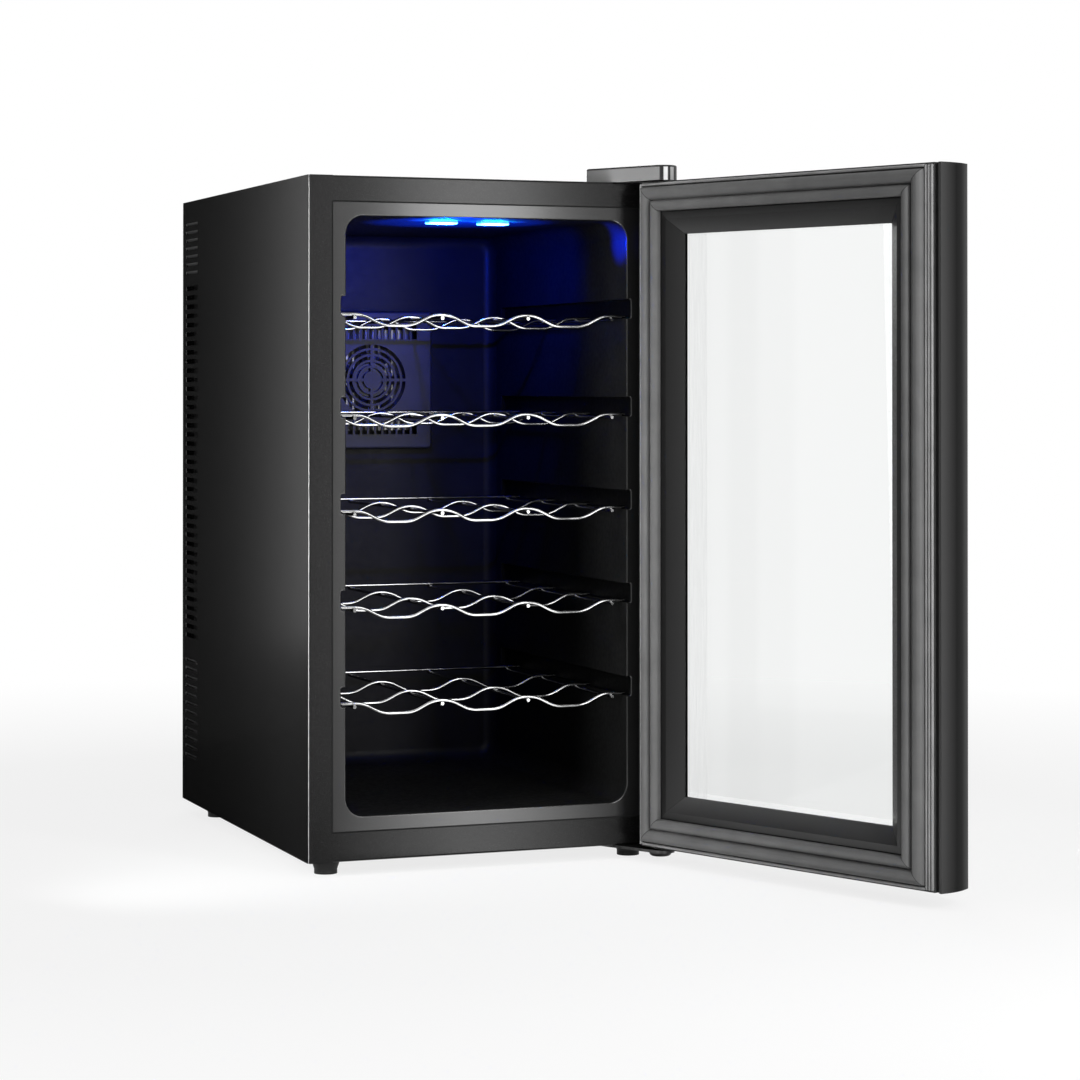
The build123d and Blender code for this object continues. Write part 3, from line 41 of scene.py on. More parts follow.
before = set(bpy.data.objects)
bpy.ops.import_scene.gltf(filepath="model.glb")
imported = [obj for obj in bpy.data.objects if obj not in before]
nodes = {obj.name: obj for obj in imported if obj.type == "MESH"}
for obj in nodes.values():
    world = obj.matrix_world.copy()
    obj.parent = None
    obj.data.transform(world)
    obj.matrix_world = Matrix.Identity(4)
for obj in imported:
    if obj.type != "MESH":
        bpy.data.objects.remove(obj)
cad_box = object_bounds()

# Places taken from the solids
MM = 0.001
FRONT = -213 * MM
BACK = 243 * MM
TOP = 631 * MM
CEILING = 595 * MM
FLANGE_BACK = -211 * MM
EDGE_SIDE = 171.7 * MM
EDGE_FRONT = FRONT + 0.8 * MM
LIP_HALF = 149.5 * MM
LIP_LOW = 40 * MM
LIP_HIGH = 607 * MM
BLADE_SIDES = (168 * MM, 172.3 * MM)
BLADE_ENDS = (120 * MM, 238 * MM)
GROOVE_START = 137.5 * MM
PIVOT = Vector((161 * MM, -236 * MM, 0))
DOOR_OPEN = math.radians(112)
DOOR_WIDTH = 345 * MM
DOOR_BOTTOM = 14.5 * MM
DOOR_TOP = 630 * MM
DOOR_MIDDLE = (DOOR_BOTTOM + DOOR_TOP) / 2
DOOR_HEIGHT = DOOR_TOP - DOOR_BOTTOM
VIEW_INSET = 49 * MM
SEAL_INSET = 5 * MM
OUTER_LOBE = 12 * MM
PANE_FACE = -265 * MM
PANE_PAINT = -262 * MM
BOARD_FACE = -259.2 * MM
CONTROL_HEIGHT = 600 * MM
SHELF_LEVELS = [(153.5 + 87 * i) * MM for i in range(4)] + [506 * MM]
WAVE_PLACES = [FRONT + offset * MM for offset in (12, 100, 190)]
REAR_BAR_PLACE = FRONT + 290 * MM
RUNNER_PLACES = [x * MM for x in (-126, -42, 42, 126)]
WIRE_RADIUS = 1.5 * MM
LENS_PLACES = [-25.5 * MM, 25.5 * MM]
LENS_Y = FRONT + 60 * MM
LENS_DROP = 3 * MM
REAR_FACE = BACK + 1 * MM
REAR_SCREW_X = 166.5 * MM
REAR_SCREW_HEIGHTS = [(40 + 189 * i) * MM for i in range(4)]

# Camera fitted to the photograph
CAMERA_PLACE = (-929.7 * MM, -2744.1 * MM, 442.3 * MM)
CAMERA_TURN = (math.radians(90.46), 0, math.radians(-21.16))
CAMERA_LENS = 97.96
CAMERA_SENSOR = 36
CAMERA_SHIFT = -0.1658

# Extents and tones of the finishes
# Width of the painted shade along the liner seam, and the duller sheen there
SEAM_WIDTH = 1.2 * MM
SEAM_ROUGHNESS = 0.7
# Painted highlight on the front edges of the panels
EDGE_HIGHLIGHT_TONE = 0.34
# Painted light on the recessed louvre blades
BLADE_LIGHT_TONE = 0.13
GLASS_TINT = (0.955, 0.96, 0.958, 1)
GLASS_IOR = 1.25
SEAL_RIB = 3 * MM
SEAL_WELD = 0.4 * MM
SEAL_END = 24 * MM
BEAD_JOINT = 0.25 * MM
LENS_GLOW = 7.0
LENS_FADE = (4 * MM, 16 * MM)
LENS_RIM = (CEILING - 2.1 * MM, CEILING - 1.3 * MM)
CAP_TOP = TOP + 14 * MM
CAP_EDGE = (CAP_TOP - 2.2 * MM, CAP_TOP - 1.4 * MM)
NOSE_PLACE = (158 * MM, -249 * MM)
# Painted reflections round the hinge cap's nose: turns about the nose in degrees and their grey tones
PAINTED_NOSE_REFLECTIONS = [
    (math.radians(turn), tone)
    for turn, tone in (
        (-130, 0.22), (-124, 0.02), (-112, 0.02), (-108, 0.7), (-95, 0.7), (-91, 0.03), (-83, 0.03),
        (-79, 0.5), (-65, 0.5), (-60, 0.03), (-10, 0.03), (5, 0.22),
    )
]
# Middle and fade of the painted reflection across the stile's depth
STILE_MIDDLE = -243 * MM
STILE_FADE = (4 * MM, 22 * MM)


def grey(value):
    return (value, value, value, 1)


class Finish:
    """A material under construction: its nodes and the shader that they feed."""

    def __init__(self, name, **sockets):
        self.material = bpy.data.materials.new(name)
        self.material.use_nodes = True
        self.nodes = self.material.node_tree.nodes
        self.links = self.material.node_tree.links
        self.shader = self.nodes["Principled BSDF"]
        self.feed(self.shader, {key.replace("_", " "): value for key, value in sockets.items()})

    def feed(self, node, sockets):
        for key, value in sockets.items():
            if isinstance(value, bpy.types.NodeSocket):
                self.links.new(value, node.inputs[key])
            else:
                node.inputs[key].default_value = value

    def add(self, kind, sockets=None, **settings):
        node = self.nodes.new("ShaderNode" + kind)
        for key, value in settings.items():
            setattr(node, key, value)
        self.feed(node, sockets or {})
        return node

    def place(self, scale=(1, 1, 1)):
        """Object coordinates, stretched where a grain runs one way."""
        here = self.add("TexCoord").outputs["Object"]
        return self.add("Mapping", {"Vector": here, "Scale": scale}).outputs["Vector"]

    def door_place(self):
        """Coordinates of the closed door, from the middle of its outline."""
        turn = Matrix.Rotation(-DOOR_OPEN, 3, "Z")
        shift = PIVOT - turn @ PIVOT - Vector((0, 0, DOOR_MIDDLE))
        here = self.add("TexCoord").outputs["Object"]
        sockets = {"Vector": here, "Location": shift, "Rotation": (0, 0, -DOOR_OPEN)}
        return self.add("Mapping", sockets).outputs["Vector"]

    def noise(self, scale, detail=2.0, vector=None):
        sockets = {"Vector": vector or self.place(), "Scale": scale, "Detail": detail}
        return self.add("TexNoise", sockets).outputs["Fac"]

    def cells(self, scale, feature="F1", vector=None):
        sockets = {"Vector": vector or self.place(), "Scale": scale}
        return self.add("TexVoronoi", sockets, feature=feature).outputs["Distance"]

    def math(self, operation, first, second=0.0):
        return self.add("Math", {0: first, 1: second}, operation=operation).outputs["Value"]

    def spread(self, value, low, high, start=0.3, end=0.7):
        """A value between start and end, mapped to run from low to high."""
        sockets = {"Value": value, "From Min": start, "From Max": end, "To Min": low, "To Max": high}
        return self.add("MapRange", sockets).outputs["Result"]

    def mix(self, factor, first, second):
        node = self.add("Mix", {"Factor": factor}, data_type="RGBA")
        self.feed(node, {6: first, 7: second})
        return node.outputs[2]

    def tone(self, value, low, high, start=0.3, end=0.7):
        """A colour that runs from low to high as value goes from start to end."""
        return self.mix(self.spread(value, 0.0, 1.0, start, end), low, high)

    def rough(self, value, low, high):
        self.feed(self.shader, {"Roughness": self.spread(value, low, high)})

    def colour(self, socket):
        self.feed(self.shader, {"Base Color": socket})

    def bump(self, height, distance, strength=1.0):
        sockets = {"Height": height, "Distance": distance, "Strength": strength}
        self.feed(self.shader, {"Normal": self.add("Bump", sockets).outputs["Normal"]})


def insets(finish):
    """Distances in from the sides and from the top or bottom of the door's frame."""
    axes = finish.add("SeparateXYZ", {"Vector": finish.door_place()})
    side = finish.math("SUBTRACT", DOOR_WIDTH / 2, finish.math("ABSOLUTE", axes.outputs["X"]))
    end = finish.math("SUBTRACT", DOOR_HEIGHT / 2, finish.math("ABSOLUTE", axes.outputs["Z"]))
    return side, end


def mitre_lines(finish, width):
    """1 on the joints across the corners of a frame on the door, 0 elsewhere."""
    offset = finish.math("SUBTRACT", *insets(finish))
    return finish.math("LESS_THAN", finish.math("ABSOLUTE", offset), width)


def between(finish, value, limits):
    """1 where a value lies between two limits, 0 elsewhere."""
    above = finish.math("GREATER_THAN", value, limits[0])
    return finish.math("MULTIPLY", above, finish.math("LESS_THAN", value, limits[1]))


def grained_paint(name, dark, light, rough_low, rough_high):
    """Powder paint with a pebbled grain and pale specks.

    It has a painted highlight on the front edges, painted light on the louvre blades, and painted shade
    with a duller sheen at the seam of the liner.
    """
    paint = Finish(name, Specular_IOR_Level=0.14)
    pebbles = paint.noise(1300, 3)
    specks = paint.spread(paint.noise(1900, 1), 0.0, 0.7, 0.62, 0.74)
    body = paint.tone(pebbles, grey(dark), grey(light), 0.35, 0.65)
    body = paint.mix(specks, body, grey(6 * light))
    axes = paint.add("SeparateXYZ", {"Vector": paint.place()})
    side = paint.math("ABSOLUTE", axes.outputs["X"])
    rise = paint.math("ABSOLUTE", paint.math("SUBTRACT", axes.outputs["Z"], (LIP_LOW + LIP_HIGH) / 2))
    forward = paint.math("LESS_THAN", axes.outputs["Y"], EDGE_FRONT)
    # Painted highlight: a pale strip along the bend of the front edges, where it would catch a lamp.
    edge = paint.math("MULTIPLY", paint.math("GREATER_THAN", side, EDGE_SIDE), forward)
    # Painted light: the recessed louvre blades are painted pale, as if lit.
    across = between(paint, side, BLADE_SIDES)
    blade = paint.math("MULTIPLY", across, between(paint, axes.outputs["Y"], BLADE_ENDS))
    body = paint.mix(blade, body, grey(BLADE_LIGHT_TONE))
    # Painted shade: a near-black band along the seam with the liner flange, standing in for a shadow
    # gap; the band is also made duller.
    seam = paint.math("LESS_THAN", side, LIP_HALF + SEAM_WIDTH)
    level = paint.math("LESS_THAN", rise, (LIP_HIGH - LIP_LOW) / 2 + SEAM_WIDTH)
    seam = paint.math("MULTIPLY", paint.math("MULTIPLY", seam, level), forward)
    paint.colour(paint.mix(seam, paint.mix(edge, body, grey(EDGE_HIGHLIGHT_TONE)), grey(0.001)))
    gloss = paint.spread(paint.noise(900, 2), rough_low, rough_high)
    paint.feed(paint.shader, {"Roughness": paint.spread(seam, gloss, SEAM_ROUGHNESS, 0.0, 1.0)})
    paint.bump(pebbles, 0.00004, 0.4)
    return paint.material


def moulded_plastic(name, dark, light, rough_low, rough_high, grain=1800):
    """Moulded plastic with a faint spark-eroded texture."""
    plastic = Finish(name, Specular_IOR_Level=0.2)
    texture = plastic.noise(grain, 2)
    plastic.colour(plastic.tone(plastic.noise(45, 3), grey(dark), grey(light)))
    plastic.rough(texture, rough_low, rough_high)
    plastic.bump(texture, 0.00006, 0.35)
    return plastic.material


def liner_plastic():
    """Black thermoformed liner with painted shade in its grooves, and a satin lacquer on the front
    flange.
    """
    liner = Finish("liner_black_and_grey", Specular_IOR_Level=0.06, Coat_Roughness=0.15)
    axes = liner.add("SeparateXYZ", {"Vector": liner.place()})
    flange = liner.math("LESS_THAN", axes.outputs["Y"], FLANGE_BACK)
    # Painted shade: the shelf grooves in the side walls are painted near-black.
    groove_shade = liner.math("GREATER_THAN", liner.math("ABSOLUTE", axes.outputs["X"]), GROOVE_START)
    inside = liner.tone(liner.noise(30, 3), grey(0.005), grey(0.0075))
    inside = liner.mix(groove_shade, inside, grey(0.001))
    painted = liner.tone(liner.noise(900, 2), grey(0.008), grey(0.012))
    liner.colour(liner.mix(flange, inside, painted))
    liner.feed(liner.shader, {"Coat Weight": liner.math("MULTIPLY", flange, 0.6)})
    liner.rough(liner.noise(220, 3), 0.36, 0.48)
    liner.bump(liner.noise(700, 2), 0.00003, 0.3)
    return liner.material


def chromed_wire():
    """Bright chrome, a little dulled by handling."""
    chrome = Finish("bright_chrome_wire", Metallic=1.0)
    smears = chrome.noise(90, 4)
    chrome.colour(chrome.tone(smears, grey(0.17), grey(0.24)))
    chrome.rough(smears, 0.07, 0.2)
    chrome.bump(chrome.noise(1200, 2, chrome.place((1, 0.1, 1))), 0.00002, 0.3)
    return chrome.material


def seal_rubber():
    """Soft grey door seal, dusty in patches, with welded mitres."""
    seal = Finish("seal_grey_rubber", Specular_IOR_Level=0.15)
    body = seal.tone(seal.noise(38, 4), grey(0.095), grey(0.118))
    weld = mitre_lines(seal, SEAL_WELD)
    seal.colour(seal.mix(weld, body, grey(0.02)))
    seal.rough(seal.noise(300, 3), 0.42, 0.6)
    inset = seal.math("MINIMUM", *insets(seal))
    rib = seal.math("COSINE", seal.math("MULTIPLY", inset, 2 * math.pi / SEAL_RIB))
    rib = seal.math("MULTIPLY", rib, seal.math("LESS_THAN", inset, SEAL_INSET + OUTER_LOBE))
    height = seal.math("SUBTRACT", seal.math("ADD", seal.noise(800, 2), rib), weld)
    seal.bump(height, 0.0001, 0.4)
    return seal.material


def bead_plastic():
    """Satin black bead round the inner pane, cut at the corners, with painted shade next to the seal
    and its slope painted lighter on three sides.
    """
    bead = Finish("bead_satin_black", Specular_IOR_Level=0.12)
    side, end = insets(bead)
    # Painted shade: near-black next to the seal, fading to the slope's tone towards the glass.
    slope = bead.spread(bead.math("MINIMUM", side, end), 0.0, 1.0, SEAL_END, VIEW_INSET)
    outer = bead.tone(bead.noise(60, 3), grey(0.001), grey(0.002))
    across = bead.add("SeparateXYZ", {"Vector": bead.door_place()}).outputs["X"]
    handle_side = bead.math("LESS_THAN", across, 0.0)
    # Painted light: the top, bottom and handle-side slopes are painted lighter than the hinge side, as
    # the light falls.
    painted_light_sides = bead.math("MAXIMUM", bead.math("LESS_THAN", end, side), handle_side)
    body = bead.mix(slope, outer, bead.mix(painted_light_sides, grey(0.016), grey(0.052)))
    joint = mitre_lines(bead, BEAD_JOINT)
    bead.colour(bead.mix(joint, body, grey(0.003)))
    bead.rough(bead.noise(500, 2), 0.35, 0.5)
    bead.bump(bead.math("SUBTRACT", bead.noise(1500, 2), joint), 0.00006, 0.4)
    return bead.material


def cap_finish():
    """Satin grey hinge cap with a dark upper edge, and painted reflections in upright stripes round its
    nose.
    """
    cap = Finish("hinge_cap_satin_grey", Specular_IOR_Level=0.2)
    axes = cap.add("SeparateXYZ", {"Vector": cap.place()})
    across = cap.math("SUBTRACT", axes.outputs["X"], NOSE_PLACE[0])
    along = cap.math("SUBTRACT", axes.outputs["Y"], NOSE_PLACE[1])
    angle = cap.math("ARCTAN2", along, across)
    # Painted reflections: light and dark stripes by turn round the nose.
    (first_turn, first_tone), *inner_bands, (last_turn, last_tone) = PAINTED_NOSE_REFLECTIONS
    bands = cap.add("ValToRGB", {"Fac": cap.spread(angle, 0.0, 1.0, first_turn, last_turn)})
    ramp = bands.color_ramp.elements
    for turn, tone in inner_bands:
        ramp.new((turn - first_turn) / (last_turn - first_turn)).color = grey(tone)
    ramp[0].color = grey(first_tone)
    ramp[len(ramp) - 1].color = grey(last_tone)
    upper = cap.spread(axes.outputs["Z"], 0.0, 1.0, *CAP_EDGE)
    cap.colour(cap.mix(upper, bands.outputs["Color"], grey(0.012)))
    cap.rough(cap.noise(1800, 2), 0.16, 0.24)
    cap.bump(cap.noise(1800, 2), 0.00004, 0.3)
    return cap.material


def stile_plastic():
    """Charcoal stile with the fine lengthwise draw lines of an extrusion, and a painted reflection:
    dark in the middle of its depth, lighter towards both edges.
    """
    stile = Finish("stile_satin_charcoal", Specular_IOR_Level=0.06)
    draw = stile.noise(900, 3, stile.place((1, 1, 0.02)))
    # Painted reflection: lighter towards the front and back of the stile, as on a rounded face.
    depth = stile.add("SeparateXYZ", {"Vector": stile.door_place()}).outputs["Y"]
    off_middle = stile.math("ABSOLUTE", stile.math("SUBTRACT", depth, STILE_MIDDLE))
    edge = stile.spread(off_middle, 0.0, 1.0, *STILE_FADE)
    body = stile.tone(draw, grey(0.004), grey(0.006))
    stile.colour(stile.mix(edge, body, grey(0.045)))
    stile.rough(draw, 0.34, 0.46)
    stile.bump(stile.noise(1500, 2), 0.00005, 0.3)
    return stile.material


def clear_glass():
    """Clear float glass, wiped clean."""
    glass = Finish("clear_float_glass", Transmission_Weight=1.0, IOR=GLASS_IOR)
    glass.feed(glass.shader, {"Base Color": GLASS_TINT})
    glass.rough(glass.noise(14, 3), 0.0, 0.002)
    return glass.material


def printed_glass():
    """Front pane: clear in the middle, with a black border fired on its back."""
    pane = Finish("front_pane_black_border", IOR=GLASS_IOR)
    depth = pane.add("SeparateXYZ", {"Vector": pane.door_place()}).outputs["Y"]
    middle = pane.math("GREATER_THAN", pane.math("MINIMUM", *insets(pane)), VIEW_INSET)
    inside = pane.math("MAXIMUM", middle, pane.math("LESS_THAN", depth, PANE_PAINT))
    pane.colour(pane.mix(inside, grey(0.004), GLASS_TINT))
    pane.feed(pane.shader, {"Transmission Weight": inside})
    pane.rough(pane.noise(14, 3), 0.0, 0.002)
    return pane.material


def satin_spacer():
    """Satin metal of the spacer between the panes."""
    metal = Finish("spacer_satin_aluminium", Metallic=1.0)
    draw = metal.noise(600, 3, metal.place((1, 1, 0.05)))
    metal.colour(metal.tone(draw, grey(0.92), grey(0.97)))
    metal.rough(draw, 0.1, 0.16)
    metal.bump(draw, 0.00002, 0.3)
    return metal.material


def lamp_glow():
    """Blue diffuser, brightest along the middle of its lower edge."""
    lens = Finish("lamp_blue_diffuser", Roughness=0.4)
    lens.colour(lens.tone(lens.noise(400, 2), (0.1, 0.3, 1, 1), (0.2, 0.45, 1, 1)))
    axes = lens.add("SeparateXYZ", {"Vector": lens.place()})
    along = lens.math("ABSOLUTE", axes.outputs["X"])
    off_middle = lens.math("ABSOLUTE", lens.math("SUBTRACT", along, LENS_PLACES[1]))
    glow = lens.tone(off_middle, (0.3, 0.75, 1, 1), (0.05, 0.35, 1, 1), *LENS_FADE)
    upper = lens.spread(axes.outputs["Z"], 0.0, 1.0, *LENS_RIM)
    glow = lens.mix(upper, glow, (0.0, 0.045, 0.16, 1))
    lens.feed(lens.shader, {"Emission Color": glow, "Emission Strength": LENS_GLOW})
    return lens.material


def plated_steel(name, dark, light, rough_low, rough_high):
    """Zinc-plated steel with a crystalline spangle."""
    steel = Finish(name, Metallic=1.0)
    spangle = steel.cells(240)
    steel.colour(steel.tone(spangle, grey(dark), grey(light), 0.1, 0.6))
    steel.rough(steel.noise(120, 3), rough_low, rough_high)
    steel.bump(steel.noise(900, 2), 0.00002, 0.3)
    return steel.material


def extruded_aluminium(name, dark, light):
    """Aluminium with draw lines along the fins."""
    metal = Finish(name, Metallic=1.0)
    draw = metal.noise(700, 3, metal.place((1, 1, 0.03)))
    metal.colour(metal.tone(draw, grey(dark), grey(light)))
    metal.rough(draw, 0.25, 0.42)
    metal.bump(draw, 0.00003, 0.4)
    return metal.material


def rigid_foam():
    """Cream foam with open cells."""
    foam = Finish("rigid_cream_foam", Roughness=0.9)
    pores = foam.cells(650)
    foam.colour(foam.tone(pores, (0.55, 0.46, 0.26, 1), (0.78, 0.7, 0.48, 1), 0.1, 0.6))
    foam.bump(pores, 0.0004, 0.7)
    return foam.material


def white_ceramic():
    ceramic = Finish("module_white_ceramic", Specular_IOR_Level=0.5)
    ceramic.colour(ceramic.tone(ceramic.noise(500, 3), grey(0.7), grey(0.82)))
    ceramic.rough(ceramic.noise(300, 2), 0.35, 0.5)
    ceramic.bump(ceramic.noise(1500, 2), 0.00003, 0.3)
    return ceramic.material


def circuit_board(name, dark_face=False):
    """Green solder mask over copper tracks, with a dark filter on what touches the front pane."""
    board = Finish(name, Specular_IOR_Level=0.5)
    tracks = board.cells(190, "DISTANCE_TO_EDGE")
    mask = board.tone(tracks, (0.05, 0.2, 0.07, 1), (0.015, 0.09, 0.03, 1), 0.02, 0.1)
    if dark_face:
        depth = board.add("SeparateXYZ", {"Vector": board.door_place()}).outputs["Y"]
        mask = board.mix(board.math("LESS_THAN", depth, BOARD_FACE), mask, grey(0.004))
    board.colour(mask)
    board.rough(board.noise(400, 2), 0.3, 0.45)
    board.bump(tracks, 0.00005, 0.4)
    return board.material


def brass_contacts():
    brass = Finish("plated_brass_contacts", Metallic=1.0)
    stain = brass.noise(300, 3)
    brass.colour(brass.tone(stain, (0.62, 0.5, 0.26, 1), (0.75, 0.66, 0.42, 1)))
    brass.rough(stain, 0.2, 0.38)
    brass.bump(brass.noise(1200, 2), 0.00002, 0.3)
    return brass.material


def lit_legend():
    """Cold white figures that shine through the front pane."""
    legend = Finish("control_lit_figures", Roughness=0.4)
    legend.colour(legend.tone(legend.noise(900, 2), (0.6, 0.75, 0.9, 1), (0.75, 0.87, 1, 1)))
    legend.feed(legend.shader, {"Emission Color": (0.7, 0.87, 1, 1), "Emission Strength": 0.8})
    return legend.material


paint = grained_paint("cabinet_black_grained_paint", 0.003, 0.007, 0.16, 0.22)
rear_paint = grained_paint("rear_black_paint", 0.014, 0.022, 0.4, 0.5)
liner = liner_plastic()
chrome = chromed_wire()
black_plastic = moulded_plastic("black_moulded_plastic", 0.010, 0.016, 0.4, 0.55)
fan_plastic = moulded_plastic("fan_black_plastic", 0.014, 0.02, 0.35, 0.5)
foot_plastic = moulded_plastic("foot_black_plastic", 0.010, 0.018, 0.5, 0.65, 1100)
nylon = moulded_plastic("bearing_white_nylon", 0.6, 0.7, 0.35, 0.5)
seal_foam = moulded_plastic("module_seal_black_foam", 0.02, 0.035, 0.8, 0.95, 700)
lead_jacket = moulded_plastic("lead_black_jacket", 0.015, 0.022, 0.45, 0.6)
magnet_strip = moulded_plastic("magnet_brown_strip", 0.04, 0.06, 0.6, 0.75)
zinc = plated_steel("hinge_zinc_steel", 0.42, 0.58, 0.3, 0.45)
screw_steel = plated_steel("screw_dark_steel", 0.12, 0.2, 0.3, 0.45)
black_steel = plated_steel("hinge_blacked_steel", 0.02, 0.04, 0.3, 0.45)
aluminium = extruded_aluminium("extruded_aluminium", 0.55, 0.72)
dark_aluminium = extruded_aluminium("anodised_aluminium", 0.1, 0.16)
lip_rubber = moulded_plastic("seal_lip_grey_rubber", 0.2, 0.26, 0.25, 0.4, 900)
board = circuit_board("circuit_board_green")

FINISHES = {
    paint: ["left_side_panel", "right_side_panel", "top_panel", "base_pan"],
    rear_paint: ["rear_cover", "inlet_panel"],
    liner: ["inner_liner"],
    chrome: [f"shelf_{i}" for i in range(1, 6)],
    black_plastic: ["fan_cover", "lamp_housing", "power_tray", "power_inlet", "door_frame"],
    fan_plastic: ["cold_fan_frame", "cold_fan_rotor", "hot_fan_frame", "hot_fan_rotor"],
    cap_finish(): ["top_hinge_cover"],
    foot_plastic: ["front_left_foot", "front_right_foot", "rear_left_foot", "rear_right_foot"],
    nylon: ["hinge_washer", "top_door_bush", "bottom_door_bush"],
    seal_foam: ["module_seal"],
    lead_jacket: ["power_lead"],
    magnet_strip: ["gasket_magnets"],
    zinc: ["back_plate", "hinge_backing_plates", "top_hinge_plate"],
    screw_steel: ["rear_cover_screws", "top_hinge_screws", "top_hinge_pin", "foot_inserts"],
    black_steel: ["bottom_hinge_plate", "bottom_hinge_screws", "bottom_hinge_pin"],
    aluminium: ["cold_block", "hot_sink"],
    dark_aluminium: ["cold_sink"],
    board: ["lamp_board", "power_board"],
    circuit_board("control_board_green", dark_face=True): ["control_board"],
    rigid_foam(): ["foam_insulation"],
    white_ceramic(): ["peltier_module"],
    brass_contacts(): ["inlet_pins"],
    seal_rubber(): ["gasket"],
    bead_plastic(): ["inner_bezel"],
    stile_plastic(): ["handle_profile", "hinge_profile"],
    clear_glass(): ["inner_glass"],
    printed_glass(): ["outer_glass"],
    satin_spacer(): ["pane_spacer"],
    lamp_glow(): ["lamp_lenses"],
}
for finish, names in FINISHES.items():
    for name in names:
        nodes[name].data.materials.clear()
        nodes[name].data.materials.append(finish)


def begin():
    """Nothing is selected, so that the next operator acts on the new piece alone."""
    bpy.ops.object.select_all(action="DESELECT")


def only(piece):
    begin()
    piece.select_set(True)
    bpy.context.view_layer.objects.active = piece


def settle(piece, name, body, finish):
    """Puts a finished piece's place in its mesh, and gives it its name, finish and body."""
    only(piece)
    bpy.ops.object.transform_apply(location=True, rotation=True, scale=True)
    piece.name = name
    piece.data.name = name
    piece.data.materials.clear()
    piece.data.materials.append(finish)
    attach(piece, body)
    return piece


def copy_of(piece, shift):
    twin = piece.copy()
    twin.data = piece.data.copy()
    bpy.context.collection.objects.link(twin)
    twin.location = Vector(piece.location) + Vector(shift)
    return twin


def joined(pieces):
    begin()
    for piece in pieces:
        piece.select_set(True)
    bpy.context.view_layer.objects.active = pieces[0]
    bpy.ops.object.join()
    return pieces[0]


# Weld beads where the shelf wires cross
BEAD_RADIUS = 1.5 * MM
BEAD_STRETCH = (1.5, 1.5, 0.8)


def weld_beads(level):
    """Flattened beads on every crossing of one shelf, modelled once and repeated along the wires."""
    crossings = [(x, y) for y in [*WAVE_PLACES, REAR_BAR_PLACE] for x in RUNNER_PLACES]
    x, y = crossings[0]
    height = level - WIRE_RADIUS
    begin()
    bpy.ops.mesh.primitive_uv_sphere_add(
        segments=12, ring_count=8, radius=BEAD_RADIUS, location=(x, y, height)
    )
    bead = bpy.context.object
    bpy.ops.object.mode_set(mode="EDIT")
    bpy.ops.mesh.select_all(action="SELECT")
    bpy.ops.transform.resize(value=BEAD_STRETCH)
    for next_x, next_y in crossings[1:]:
        step = {"value": (next_x - x, next_y - y, 0)}
        bpy.ops.mesh.duplicate_move(TRANSFORM_OT_translate=step)
        x, y = next_x, next_y
    bpy.ops.mesh.select_all(action="SELECT")
    bpy.ops.mesh.faces_shade_smooth()
    bpy.ops.object.mode_set(mode="OBJECT")
    return bead


first_beads = weld_beads(SHELF_LEVELS[0])
bead_sets = [first_beads] + [
    copy_of(first_beads, (0, 0, level - SHELF_LEVELS[0])) for level in SHELF_LEVELS[1:]
]
for number, beads in enumerate(bead_sets, 1):
    settle(beads, f"shelf_{number}_weld_beads", f"shelf_{number}", chrome)


# Cross-recessed screw heads on the rear sheets
HEAD_RADIUS = 3.5 * MM
HEAD_HEIGHT = 1.6 * MM
HEAD_ROUND = 0.9 * MM
RECESS_LENGTH = 3.8 * MM
RECESS_WIDTH = 0.8 * MM
RECESS_DEPTH = 1.0 * MM
SAME_PLACE = 0.1 * MM


def recess_arm(place, size):
    begin()
    bpy.ops.mesh.primitive_cube_add(size=1, location=place)
    arm = bpy.context.object
    bpy.ops.object.mode_set(mode="EDIT")
    bpy.ops.mesh.select_all(action="SELECT")
    bpy.ops.transform.resize(value=size)
    bpy.ops.object.mode_set(mode="OBJECT")
    return arm


def screw_head(x, z):
    """A domed head on the rear sheet with a cross recess."""
    middle = REAR_FACE + HEAD_HEIGHT / 2
    begin()
    bpy.ops.mesh.primitive_cylinder_add(
        vertices=32, radius=HEAD_RADIUS, depth=HEAD_HEIGHT, location=(x, middle, z),
        rotation=(-math.pi / 2, 0, 0),
    )
    head = bpy.context.object
    bpy.ops.object.transform_apply(location=True, rotation=True, scale=True)
    bpy.ops.object.mode_set(mode="EDIT")
    bpy.ops.mesh.select_all(action="DESELECT")
    bpy.ops.object.mode_set(mode="OBJECT")
    outer = REAR_FACE + HEAD_HEIGHT
    for edge in head.data.edges:
        ends = [head.data.vertices[i].co.y for i in edge.vertices]
        edge.select = all(abs(y - outer) < SAME_PLACE for y in ends)
    bpy.ops.object.mode_set(mode="EDIT")
    bpy.ops.mesh.select_mode(type="EDGE")
    bpy.ops.mesh.bevel(offset=HEAD_ROUND, segments=4, profile=0.5)
    bpy.ops.object.mode_set(mode="OBJECT")
    for wide, high in ((RECESS_LENGTH, RECESS_WIDTH), (RECESS_WIDTH, RECESS_LENGTH)):
        arm = recess_arm((x, outer, z), (wide, 2 * RECESS_DEPTH, high))
        only(head)
        cut = head.modifiers.new("cross_recess", "BOOLEAN")
        cut.operation = "DIFFERENCE"
        cut.object = arm
        bpy.ops.object.modifier_apply(modifier=cut.name)
        bpy.data.objects.remove(arm)
    return head


first_head = screw_head(-REAR_SCREW_X, REAR_SCREW_HEIGHTS[0])
heads = [first_head] + [
    copy_of(first_head, (side * REAR_SCREW_X + REAR_SCREW_X, 0, height - REAR_SCREW_HEIGHTS[0]))
    for height in REAR_SCREW_HEIGHTS
    for side in (-1, 1)
    if (side, height) != (-1, REAR_SCREW_HEIGHTS[0])
]
rear_heads = settle(joined(heads), "rear_screw_heads", "cabinet", screw_steel)
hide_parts("rear_cover_screws")


